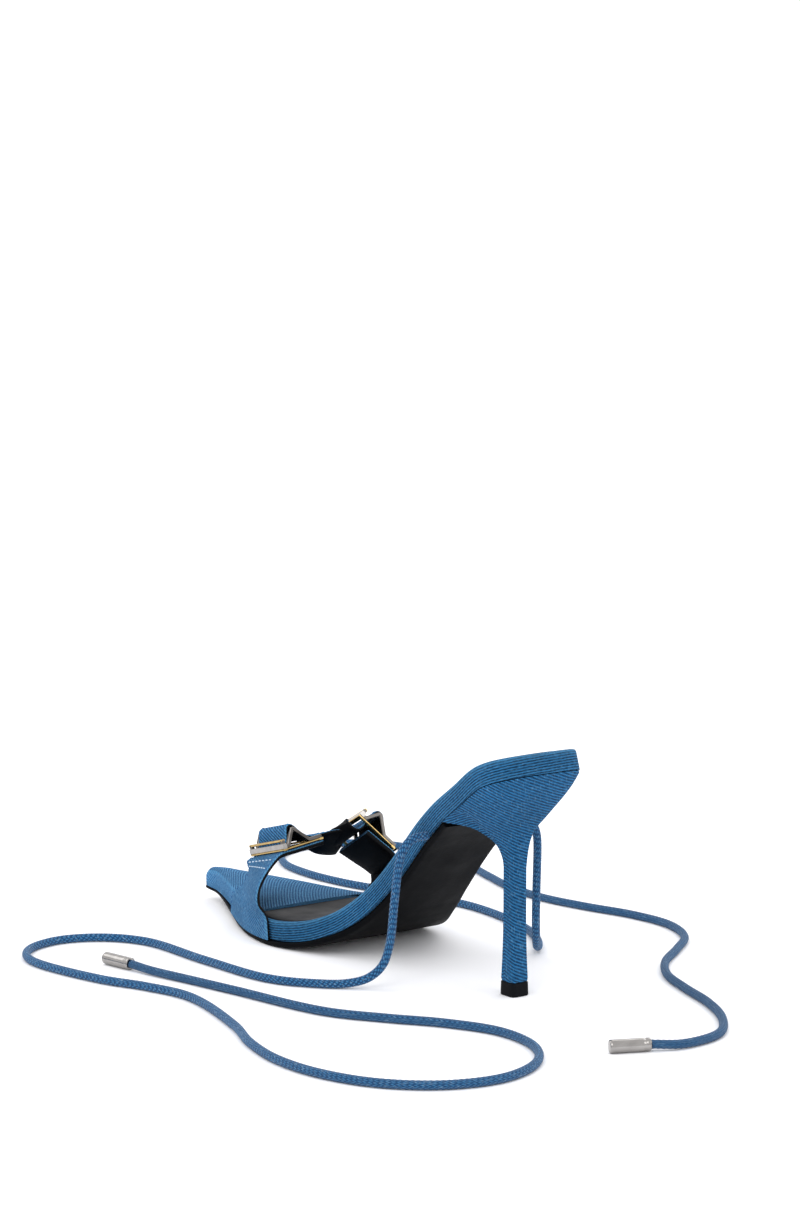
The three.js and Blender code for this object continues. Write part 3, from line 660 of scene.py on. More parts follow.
@dataclass
class Finishes:
    """Every finish of the shoe, built once."""

    # Each piece of cloth is cut its own way, so the ribs run differently on each
    heel: Finish = Denim("denim_heel", turn=27.0, rib=1.2, weft="#0c2f50")
    rand: Finish = Denim("denim_rand", turn=88.0, rib=1.05, slubs=0.25)
    toe: Finish = Denim("denim_toe", "#1f5382", "#5b99c9", "#9cc3e0", rib=1.15, turn=50.0)
    tab: Finish = Denim("denim_tab", "#143f68", "#5291c2", "#9ac2e0", turn=30.0, slubs=0.45)
    strap: Finish = Denim("denim_strap", "#0f3b63", "#4788bc", "#8fbbdb", turn=35.0, slubs=0.4)
    sock: Finish = Leather("sock_leather", "#0f1013", "#1b1c21", roughness=0.5, shine=0.14)
    lining: Finish = Leather("lining_leather", "#060607", "#0f1013", roughness=0.6, shine=0.08)
    sole: Finish = Leather("sole_leather", "#07080a", "#0b0c0f", roughness=0.5, shine=0.03, grain=1.2)
    lift: Finish = Plain("lift_rubber", "#08090b", "#121317", roughness=0.55, shine=0.06)
    fibre: Finish = Plain("fibre_board", "#6d5a41", "#9a8365", roughness=0.9)
    tonal: Finish = Plain("thread_indigo", "#1b3f6c", "#33639b", roughness=0.8, grain=0.4)
    pale: Finish = Plain("thread_pale", "#9fb9d2", "#d5e0ea", roughness=0.8, grain=0.4)
    gold: Finish = PlatedMetal("pale_gold_plate", film="#d3b67c", shade="#8d7342")
    gun: Finish = PlatedMetal("gunmetal_plate", film="#75716e", shade="#353331", roughness=0.14)
    silver: Finish = PlatedMetal("silver_plate", film="#b0adaa", shade="#858280", roughness=0.12)
    cord: Finish = Braid("braided_cotton")

    def __post_init__(self) -> None:
        """Builds each finish's material under its own name."""
        self.made = {name: getattr(self, name).build() for name in self.__dataclass_fields__}

    def get(self, *names: str) -> list[bpy.types.Material]:
        """Gives materials by their finish's name."""
        return [self.made[name] for name in names]


@dataclass
class Stitches:
    """A row of sewing stitches along a line, as one mesh of short rounded rods."""

    name: str
    line: Array
    out: Array
    length: float = 2.0
    pause: float = 0.7
    thick: float = 0.42

    def build(self, material: bpy.types.Material, slot: str) -> bpy.types.Object:
        """Makes the row. Each stitch dips into the cloth at both ends."""
        run = np.concatenate([[0], np.cumsum(np.linalg.norm(np.diff(self.line, axis=0), axis=1))])
        pitch = self.length + self.pause
        count = max(1, int(run[-1] / pitch))
        rising = ((0, 0.25, -0.3), (0.1, 0.8, 0.0), (0.35, 1, 0.22))
        shape = rising + tuple((1 - share, fat, lift) for share, fat, lift in reversed(rising))
        sides = 6
        points, faces = [], []
        for n in range(count):
            first = (n + 0.5) * run[-1] / count - self.length / 2
            at = [first + self.length * share for share, _, _ in shape]
            spots = np.stack([np.interp(at, run, self.line[:, i]) for i in range(3)], 1)
            ups = unit(np.stack([np.interp(at, run, self.out[:, i]) for i in range(3)], 1))
            way = unit(spots[-1] - spots[0])
            base = len(points)
            for (_, fat, lift), spot, up in zip(shape, spots, ups):
                side = unit(np.cross(way, up))
                for i in range(sides):
                    angle = 2 * math.pi * i / sides
                    ring = fat * self.thick / 2 * (math.cos(angle) * side + math.sin(angle) * up)
                    points.append(spot + up * lift * self.thick + ring)
            for k in range(len(shape) - 1):
                for i in range(sides):
                    a, b = base + k * sides + i, base + k * sides + (i + 1) % sides
                    faces.append([a, b, b + sides, a + sides])
            faces.append([base + i for i in reversed(range(sides))])
            faces.append([base + (len(shape) - 1) * sides + i for i in range(sides)])
        mesh = bpy.data.meshes.new(self.name)
        mesh.from_pydata((np.array(points) * MM).tolist(), [], faces)
        return settle(finish_mesh(mesh, [material]))


@dataclass
class Work:
    """Work on the last with the shoe's finishes."""

    last: Last
    finishes: Finishes

    def put(self, loft: Loft, finish: str, slot: str, node: str) -> None:
        """Skins a loft in a finish and puts it in place of a CAD node."""
        settle(loft.build(self.finishes.get(finish)), [node])


@dataclass
class Bottom(Work):
    """Sole, board, sock and rand: everything under the foot."""

    breast: float = BREAST
    rand_height: float = RAND_HEIGHT
    rand_wall: float = 2.0
    board: float = 6.2
    sock: float = 1.7
    sock_front: float = SOCK_FRONT
    sole_rim: float = 1.5
    shank_inset: float = 1.5

    def outsole(self) -> None:
        """Leather sole with a rounded edge, set back under the shank."""
        last = self.last
        waist, ball = 0.42 * last.length, 0.52 * last.length

        def rim(more: float) -> Curve:
            """How far in the edge lies, and a little more."""
            return lambda x: (
                more
                + self.shank_inset
                - (self.shank_inset + self.sole_rim * (1 - 0.9 * slim(x))) * smoothstep(x, waist, ball)
            )

        def slim(x: Array) -> Array:
            """How far the sole has thinned towards the tip."""
            return smoothstep(x, 0.76 * last.length, 0.97 * last.length)

        def down(share: float) -> Curve:
            """A depth in the sole, as a share of its thickness."""
            return lambda x: face - share * deep * (1 - 0.45 * slim(x))

        face, deep = -last.gap, last.sole
        rows = ((0.0, 0.3), (0.0, 0.6), (0.12, 0.8), (0.35, 0.94), (0.8, 1.0))
        rings = last.layer(
            self.breast + 3 * last.gap,
            last.length,
            150,
            [Row(rim(0.0), down(0.12)), Row(rim(0.12 * deep), face), Row(rim(0.8 * deep), face)],
            [Row(rim(inset * deep), down(depth)) for inset, depth in rows],
        )
        self.put(Loft("sole_leather", rings), "sole", "outsole_black", "outsole")

    def sock_lining(self) -> None:
        """Black leather sock, turned down at its edge and a little fuller in the middle."""
        base = self.last.gap + self.board + self.last.gap
        inset = self.rand_wall + 1.5 * self.last.gap
        fuller = 0.35

        def height(share: float, swell: float = 0.0) -> Curve:
            """A height over the board, with a swell that dies out at the front."""
            front = self.sock_front
            return lambda x: base + share * self.sock + swell * (1 - smoothstep(x, 0.5 * front, front))

        edge = inset + 0.8
        rows = [Row(inset, height(0.1)), Row(inset, height(0.55)), Row(inset + 0.2, height(0.8))]
        crowns = ((0.0, 0.0), (0.12, 0.5), (0.3, 0.85), (0.6, 1.0), (0.9, 1.0))
        rows += [Row(edge, height(1.0, fuller * share), across) for across, share in crowns]
        under = [Row(inset, height(0))] + [Row(edge, height(0), across) for across in (0.0, 0.3, 0.9)]
        rings = self.last.layer(0, self.sock_front, 110, rows, under)
        self.put(Loft("sock", rings, middle=7), "sock", "sock_leather", "sock_lining")

    def rand(self) -> None:
        """Denim band folded over the edge of the board, with a soft rolled top."""
        places = self.last.stations(0, self.sock_front, 150)
        section = (
            (0.06, 0.0), (0.0, 0.06), (0.0, 0.3), (0.0, 0.6), (0.0, 0.84), (0.06, 0.92), (0.2, 0.98),
            (0.4, 1.0), (0.7, 1.0), (0.9, 0.97), (1.0, 0.9), (1.0, 0.5), (1.0, 0.0), (0.5, 0.0),
        )

        def band(side: Side) -> Array:
            """Gives the rings of one side, from the back to the front."""
            rows = []
            for depth, height in section:
                x, y = self.last.edge(side, places[side], depth * self.rand_wall)
                rows.append(self.last.on_footbed(x, y, np.full_like(x, height * self.rand_height)))
            return np.stack(rows, axis=1)

        rings = np.concatenate([band(Side.INNER)[::-1], band(Side.OUTER)])
        wear = np.array([0, 0.1, 0, 0, 0.25, 0.7, 0.8, 0.5, 0.3, 0, 0, 0, 0, 0.0])
        self.put(Loft("rand_denim", rings, middle=2, wear=wear), "rand", "denim", "rand")

    def insole_board(self) -> None:
        """The board hardly shows, so its own solid gets the fibre's material."""
        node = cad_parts["insole_board"]
        node.data.materials.clear()
        node.data.materials.append(self.finishes.get("fibre")[0])
        log.info("insole_board: fibre board")

    def build(self) -> None:
        """Builds all of the bottom."""
        self.outsole()
        self.insole_board()
        self.sock_lining()
        self.rand()


@dataclass
class Toe(Work):
    """The pointed denim toe over the front of the board."""

    rear: float = SOCK_FRONT + GAP
    height: float = RAND_HEIGHT
    wall: float = 1.7
    crown: float = 1.1
    hollow_top: float = 6.8

    def build(self) -> None:
        """Makes the cover with its inner hollow, as one wall folded in at the rear edge."""
        last = self.last

        def nose(share: float, more: float = 0.0) -> Curve:
            """A share of the cover's height, which falls towards the tip."""
            return lambda x: share * self.height * (1 - 0.15 * fall(x, 0.94) - 0.3 * fall(x, 0.98)) + more

        def fall(x: Array, start: float) -> Array:
            """How far the cover has fallen between a share of the length and the tip."""
            return smoothstep(x, start * last.length, last.length)

        edge = 0.3 * self.wall
        top = [Row(0.0, nose(share)) for share in (0.3, 0.6, 0.8)]
        top += [Row(0.15 * edge, nose(0.9)), Row(0.5 * edge, nose(0.97))]
        crowns = ((0.0, 0.0), (0.04, 0.18), (0.12, 0.35), (0.25, 0.58), (0.4, 0.78), (0.6, 0.93), (0.82, 1.0))
        top += [Row(edge, nose(1.0, self.crown * rise), across) for across, rise in crowns]
        bottom = [Row(0.06, 0.0), Row(self.wall, 0.0)]
        bottom += [Row(self.wall, 0.5 * self.hollow_top), Row(self.wall, self.hollow_top)]
        bottom += [Row(self.wall, self.hollow_top, across) for across in (0.12, 0.3, 0.5, 0.7, 0.9)]
        rings = last.layer(self.rear, last.length, 90, top, bottom)
        wear = np.zeros(rings.shape[1])
        half = len(top)
        for i, rub in ((3, 0.4), (4, 0.8), (5, 0.5)):
            wear[i] = wear[2 * half - 1 - i] = rub
        self.put(Loft("toe_denim", rings, middle=half, wear=wear), "toe", "denim_toe", "toe_cover")


@dataclass
class Heel(Work):
    """Denim-covered stiletto heel and its top piece."""

    breast: float = BREAST
    stem_length: float = 7.7
    stem_width: float = 7.3
    stem_top: float = 52.0
    tip_length: float = 9.2
    tip_width: float = 9.0
    lift_height: float = 5.6
    corner: float = 0.4
    taper: tuple = ((0, 1), (0.12, 0.8), (0.25, 0.45), (0.45, 0.12), (0.7, 0), (1, 0))
    flare: tuple = (
        (0.0, 0.0, 0.0), (0.12, 0.022, 0.01), (0.22, 0.05, 0.025), (0.32, 0.1, 0.05), (0.42, 0.2, 0.08),
        (0.52, 0.36, 0.125), (0.63, 0.53, 0.2), (0.74, 0.7, 0.31), (0.86, 0.86, 0.46), (0.95, 0.955, 0.7),
        (1.0, 1.0, 1.0),
    )

    def on_stem(self, angle: Array, height: float, shrink: float = 0.0) -> Array:
        """Points of the stem's rounded square section at angles from the toe direction."""
        growth = float(column(self.taper, 1)(np.array(height / self.stem_top)))
        half_length = (self.stem_length + (self.tip_length - self.stem_length) * growth) / 2 - shrink
        half_width = (self.stem_width + (self.tip_width - self.stem_width) * growth) / 2 - shrink

        def rounded(wave: Array) -> Array:
            """Squares off a circle's wave."""
            return np.sign(wave) * np.abs(wave) ** self.corner

        x, y = half_length * rounded(np.cos(angle)), half_width * rounded(np.sin(angle))
        return np.stack([x, y, np.full_like(x, height)], -1)

    def cover(self) -> None:
        """The flared block under the seat, drawn in to the stem."""
        last = self.last
        places = last.stations(0, self.breast, 36)
        inner = np.stack(last.edge(Side.INNER, places[Side.INNER], np.zeros(37)), -1)
        outer = np.stack(last.edge(Side.OUTER, places[Side.OUTER], np.zeros(37)), -1)[::-1]
        share = np.linspace(0, 1, 18)[1:-1, None]
        face = inner[-1] * (1 - share) + outer[0] * share
        face[:, 0] = self.breast
        seat = np.concatenate([face[len(face) // 2 :], outer, inner, face[: len(face) // 2]])
        middle = self.breast / 2
        wide = np.where(seat[:, 1] > 0, *(last.edge_width(side, middle) for side in Side))
        angle = np.arctan2(seat[:, 1] / wide, (seat[:, 0] - middle) / middle)
        forward = smoothstep(seat[:, 0], middle, self.breast)
        top = last.on_footbed(seat[:, 0], seat[:, 1], np.full(len(seat), -last.gap))
        back, front = column(self.flare, 1), column(self.flare, 2)
        stem = self.on_stem(angle, self.stem_top)
        # The cloth is rolled over the rim of the seat
        rings = [top + (top.mean(axis=0) - top) * 0.02]
        for rise in np.linspace(0.985, 0.02, 56):
            spread = (back(np.array(rise)) * (1 - forward) + front(np.array(rise)) * forward)[:, None]
            ring = stem * (1 - spread) + top * spread
            ring[:, 2] = self.stem_top * (1 - rise) + top[:, 2] * rise
            rings.append(ring)
        foot = self.lift_height + last.gap
        rings += [self.on_stem(angle, height) for height in np.linspace(self.stem_top, foot, 44)[:-1]]
        rings.append(self.on_stem(angle, foot, 0.25))
        cover = Loft("heel_denim", np.array(rings), end=End.FACE, middle=len(seat) // 2, upright=True)
        self.put(cover, "heel", "denim", "heel")

    def lift(self) -> None:
        """The black top piece, with a slight bevel at its foot."""
        angle = 2 * math.pi * (np.arange(48) + 0.5) / 48
        high = self.lift_height
        levels = ((0.0, 0.25), (0.25, 0.0), (0.5 * high, 0.0), (high - 0.2, 0.0), (high, 0.2))
        rings = np.array([self.on_stem(angle, height, shrink) for height, shrink in levels])
        self.put(Loft("top_piece", rings, end=End.FACE), "lift", "top_lift_rubber", "top_lift")

    def build(self) -> None:
        """Builds cover and top piece."""
        self.cover()
        self.lift()


@dataclass
class Crease:
    """A soft trough across a strap: place along and across it in shares, widths in shares, and depth."""

    along: float
    across: float
    long: float
    wide: float
    depth: float


@dataclass
class TabShape:
    """A tab's rows, its places under the buckle, its thickness there, and how it hangs to the front."""

    foot: tuple
    rise: tuple
    under: tuple
    folded: float
    sink: float = 0.0
    drop: float = 0.0


@dataclass
class BuckleFrame:
    """A buckle's place: its rear inner corner, and the directions across the strap and along it."""

    corner: tuple
    across: tuple
    along: tuple

    def __post_init__(self) -> None:
        """Squares up the three directions."""
        self.a = unit(np.array(self.across, float))
        self.c = unit(np.cross(np.array(self.along, float), self.a))
        self.b = np.cross(self.a, self.c)
        self.start = np.array(self.corner, float)

    def point(self, a: float, b: float, c: float) -> Array:
        """A point at distances across, along and out."""
        return self.start + a * self.a + b * self.b + c * self.c


@dataclass
class Straps(Work):
    """The three straps that hold the foot, and the frames of the buckles that join them."""

    tab: float = 2.2
    tab_base: float = 1.8
    strap: float = STRAP
    buckle_width: float = BUCKLE_WIDTH
    buckle_length: float = BUCKLE_LENGTH
    buckle_crest: float = BUCKLE_CREST
    play: float = 1.25
    vamp_height: float = 50.0
    rand_height: float = RAND_HEIGHT
    columns: int = 6
    tab_face: float = -1.9
    inner_foot: tuple = ((0, 0.609, 0.797), (0.55, 0.611, 0.795), (1.14, 0.616, 0.79))
    outer_foot: tuple = ((0, 0.5, 0.692), (0.55, 0.508, 0.692), (1.14, 0.52, 0.69))
    # Rear point, front point and bow of each free row: shares of length, ball width and vamp height
    inner_rise: tuple = (
        ((0.627, 0.488, 0.35), (0.78, 0.245, 0.36), 1.6),
        ((0.643, 0.437, 0.5), (0.771, 0.215, 0.47), 1.2),
    )
    outer_rise: tuple = (
        ((0.551, -0.568, 0.43), (0.69, -0.515, 0.3), 1.6),
        ((0.578, -0.5, 0.57), (0.69, -0.514, 0.39), 1.0),
    )
    # Middle of the strap in shares, and its direction from the rear edge to the front
    between: tuple = (
        ((0.698, -0.168, 0.741), (0.789, -0.159, -0.594)),
        ((0.683, -0.253, 0.746), (0.721, -0.264, -0.642)),
    )
    # Place along the buckle as a share of its length, and rise over its plate as a share of its crest
    over_crest: tuple = (
        (0.15, 0.19), (0.18, 0.46), (0.222, 0.89), (0.262, 1.19), (0.345, 1.3), (0.43, 1.2), (0.53, 0.84),
        (0.64, 0.46), (0.76, 0.25), (0.9, 0.18), (1.06, 0.18),
    )
    # The same, with the drop of the front edge
    entry: tuple = (
        (-0.08, -0.86, 0.5), (0.08, -0.86, 0.5), (0.165, -0.72, 0.4), (0.203, -0.3, 0.15), (0.212, 0.3, 0.0),
    )
    # The strap's section: place across it, depth in it, and how rubbed it is
    section: tuple = (
        (0.0, 0.3, 0.9), (0.012, 0.1, 0.9), (0.035, 0.0, 0.6), (0.08, 0.0, 0.1), (0.2, 0.0, 0),
        (0.35, 0.0, 0), (0.5, 0.0, 0), (0.65, 0.0, 0), (0.8, 0.0, 0), (0.92, 0.0, 0.1), (0.965, 0.0, 0.6),
        (0.988, 0.1, 0.9), (1.0, 0.3, 0.9), (1.0, 0.7, 0), (0.988, 0.92, 0), (0.965, 1.0, 0), (0.8, 1.0, 0),
        (0.65, 1.0, 0), (0.5, 1.0, 0), (0.35, 1.0, 0), (0.2, 1.0, 0), (0.035, 1.0, 0), (0.012, 0.92, 0),
        (0.0, 0.7, 0),
    )

    def __post_init__(self) -> None:
        """Places the buckles' frames."""
        self.inner = BuckleFrame(self._place(0.668, 0.21, 0.766), (0.967, 0, -0.255), (0, -0.99, 0.137))
        corner = self._place(0.636, -0.285, 1.012)
        self.outer = BuckleFrame(corner, (0.887, -0.075, -0.452), (-0.44, -0.59, -0.68))

    def _place(self, x: float, y: float, z: float) -> tuple[float, float, float]:
        """Turns shares of length, ball width and vamp height into a point."""
        return (x * self.last.length - HEEL_CENTRE, y * self.last.ball_width, z * self.vamp_height)

    def _free(self, rear: tuple, front: tuple, bow: float) -> Array:
        """A row between two points, bowed outwards from the foot."""
        start, end = np.array(self._place(*rear)), np.array(self._place(*front))
        out = unit(np.array([0, start[1], 0.5 * self.vamp_height * rear[2]]))
        t = np.linspace(0, 1, self.columns + 1)[:, None]
        return start * (1 - t) + end * t + out * bow * np.sin(math.pi * t)

    def _foot(self, side: Side, height: float, rear: float, front: float) -> Array:
        """A row of a tab's foot, which follows the outline outside the rand."""
        x = np.linspace(rear, front, self.columns + 1) * self.last.length
        out = np.full_like(x, -(self.tab_base + 2 * self.last.gap))
        at_x, at_y = self.last.edge(side, self.last.parameter(side, x), out)
        return self.last.on_footbed(at_x, at_y, np.full_like(x, height * self.rand_height))

    def _over(
        self, place: BuckleFrame, along: float, height: float, margin: float, drop: float
    ) -> Array:
        """A row across a buckle, at a height over its plate that drops towards the front edge."""
        spread = np.linspace(margin, self.buckle_width - margin, self.columns + 1)
        heights = height - np.linspace(0, drop, self.columns + 1)
        return np.array([place.point(a, along * self.buckle_length, c) for a, c in zip(spread, heights)])

    def _crest(self, place: BuckleFrame, along: float, rise: float, drop: float = 0.0) -> Array:
        """A row of the upper strap over a buckle."""
        return self._over(place, along, rise * self.buckle_crest, self.play, drop * self.buckle_crest)

    def _between(self, middle: tuple, across: tuple) -> Array:
        """A row of the upper strap between the buckles."""
        way = unit(np.array(across, float)) * (self.buckle_width - 2 * self.play)
        spread = np.linspace(-0.5, 0.5, self.columns + 1)[:, None]
        return np.array(self._place(*middle)) + way * spread

    def _skin(self, rows: Sequence[Array], count: int) -> Array:
        """Fine grid of a strap's outer face, from its rows."""
        share = np.linspace(0, 1, count + 1)
        return np.stack([Spline([row[i] for row in rows]).at(share) for i in range(self.columns + 1)], axis=1)

    def _wall(
        self,
        name: str,
        rows: Sequence[Array],
        count: int,
        thickness: Curve,
        creases: Sequence[Crease],
        stuff: Sequence[str],
    ) -> tuple[bpy.types.Object, Callable[[float, float], tuple[Array, Array]]]:
        """Makes a strap's wall with turned edges, and a guide for the stitches on it.

        Args:
            name: The piece's name.
            rows: Rows across its outer face.
            count: Steps along it.
            thickness: Its thickness at shares of its length, negative where the foot lies the other way.
            creases: Soft troughs pressed into its outer face.
            stuff: The finishes of its face and its lining.

        Returns:
            The object, and a function that gives a line along the strap and the way out of it.
        """
        coarse = self._skin(rows, count)
        share = np.linspace(0, 1, count + 1)
        places = np.array([s for s, _, _ in self.section])
        fine = np.stack([Spline(row).at(places) for row in coarse])
        way = np.gradient(fine, axis=0)
        step = 0.02
        ahead = np.stack([Spline(row).at(np.clip(places + step, 0, 1)) for row in coarse])
        behind = np.stack([Spline(row).at(np.clip(places - step, 0, 1)) for row in coarse])
        inward = unit(np.cross(ahead - behind, way)) * np.sign(thickness(share))[:, None, None]
        for crease in creases:
            reach = ((share[:, None] - crease.along) / crease.long) ** 2
            reach = reach + ((places[None, :] - crease.across) / crease.wide) ** 2
            fine = fine + inward * (crease.depth * np.exp(-reach))[..., None]
        depth = np.array([d for _, d, _ in self.section])
        wall = np.abs(thickness(share))[:, None, None] * depth[None, :, None]
        rings = fine + inward * wall
        face_stuff = [0 if max(pair) < 0.5 else 1 for pair in zip(depth, np.roll(depth, -1))]
        wear = np.array([w for _, _, w in self.section])
        face = slice(0, int(np.argmax(places)) + 1)
        piece = Loft(name, rings, middle=6, stuff=face_stuff, wear=wear).build(self.finishes.get(*stuff))

        def guide(along: Array, across: Array) -> tuple[Array, Array]:
            """Gives points on the strap's outer face and the way out of it."""
            index = np.clip(along * count, 0, count)
            low = np.minimum(index.astype(int), count - 1)
            part = (index - low)[:, None]
            spots, outs = [], []
            for k, t, s in zip(low, part, across):
                mix = fine[k] * (1 - t) + fine[k + 1] * t
                out = -(inward[k] * (1 - t) + inward[k + 1] * t)
                spots.append([np.interp(s, places[face], mix[face, i]) for i in range(3)])
                outs.append([np.interp(s, places[face], out[face, i]) for i in range(3)])
            return np.array(spots), unit(np.array(outs))

        return piece, guide

    def _edge_rows(self, name: str, guide: Callable, start: float, end: float, insets: tuple) -> None:
        """Sews a tonal row along each edge of a strap.

        Args:
            name: The rows' first name.
            guide: The strap's guide.
            start: Where they start, as a share of its length.
            end: Where they end.
            insets: Their places across the strap.
        """
        for number, inset in enumerate(insets):
            along = np.linspace(start, end, 60)
            line, out = guide(along, np.full(60, inset))
            row = Stitches(f"{name}_{number + 1}", line, out, length=1.7, pause=0.8, thick=0.36)
            row.build(self.finishes.get("tonal")[0], "denim")

    def _cross_rows(self, name: str, guide: Callable, places: Sequence[float]) -> None:
        """Sews pale rows across a strap, where its end is turned back."""
        for number, place in enumerate(places):
            across = np.linspace(0.08, 0.92, 24)
            line, out = guide(np.full(24, place), across)
            row = Stitches(f"{name}_{number + 1}", line, out, length=2.1, pause=0.7, thick=0.5)
            row.build(self.finishes.get("pale")[0], "denim")

    def make_tab(self, side: Side, shape: TabShape, creases: Sequence[Crease]) -> None:
        """Makes a tab: up from the sole seam outside the rand, and on under its buckle."""
        place = self.inner if side is Side.INNER else self.outer

        def dip(along: float) -> float:
            """How far the tab drops from the plate where it leaves it."""
            return 5 * (max(0.0, -along) + max(0.0, along - 1))

        rows = [self._foot(side, *row) for row in shape.foot] + [self._free(*row) for row in shape.rise]
        for along in shape.under:
            height = self.tab_face - dip(along) - shape.sink * (1 - along)
            rows.append(self._over(place, along, height, -self.last.gap, shape.drop * (1 - along)))

        def thickness(share: Array) -> Array:
            """The wall, thinner at the foot where it is skived."""
            grown = smoothstep(share, len(shape.foot) / len(rows), 0.75)
            return side.value * (self.tab_base + (shape.folded - self.tab_base) * grown)

        word = side.name.lower()
        piece, guide = self._wall(f"tab_{word}", rows, 110, thickness, creases, ("tab", "lining"))
        settle(piece, [f"strap_tab_{word}"])
        self._edge_rows(f"tab_{word}_edge_seam", guide, 0.04, 0.97, (0.045, 0.955))
        turned = 0.5 if side is Side.INNER else 0.56
        self._cross_rows(f"tab_{word}_end_seam", guide, (turned, turned + 0.035))

    def vamp(self) -> None:
        """The strap between: over one buckle's crest, across the foot and over the other's."""
        rows = [self._crest(self.inner, *row) for row in self.over_crest]
        rows += [self._between(*row) for row in self.between]
        rows += [self._crest(self.outer, *row) for row in self.entry + self.over_crest[2:]]
        creases = (
            Crease(0.40, 0.3, 0.02, 0.5, 0.25),
            Crease(0.46, 0.7, 0.025, 0.4, 0.22),
            Crease(0.52, 0.4, 0.02, 0.5, 0.2),
        )
        piece, guide = self._wall(
            "vamp_strap_denim", rows, 240, lambda s: np.full_like(s, self.strap), creases, ("strap", "lining")
        )
        settle(piece, ["vamp_strap"])
        self._edge_rows("vamp_strap_edge_seam", guide, 0.01, 0.99, (0.06, 0.94))

    def build(self) -> None:
        """Builds the three straps."""
        inner_creases = (Crease(0.33, 0.5, 0.05, 0.4, 0.35), Crease(0.18, 0.2, 0.05, 0.3, 0.2))
        outer_creases = (Crease(0.36, 0.5, 0.05, 0.4, 0.3), Crease(0.2, 0.75, 0.05, 0.3, 0.2))
        inner = TabShape(self.inner_foot, self.inner_rise, (-0.16, 0, 0.3, 0.65, 1), self.tab)
        under = (1.1, 0.95, 0.7, 0.5, 0.34)
        outer = TabShape(self.outer_foot, self.outer_rise, under, 1.2 * self.tab, sink=1.7, drop=2.6)
        self.make_tab(Side.INNER, inner, inner_creases)
        self.make_tab(Side.OUTER, outer, outer_creases)
        self.vamp()


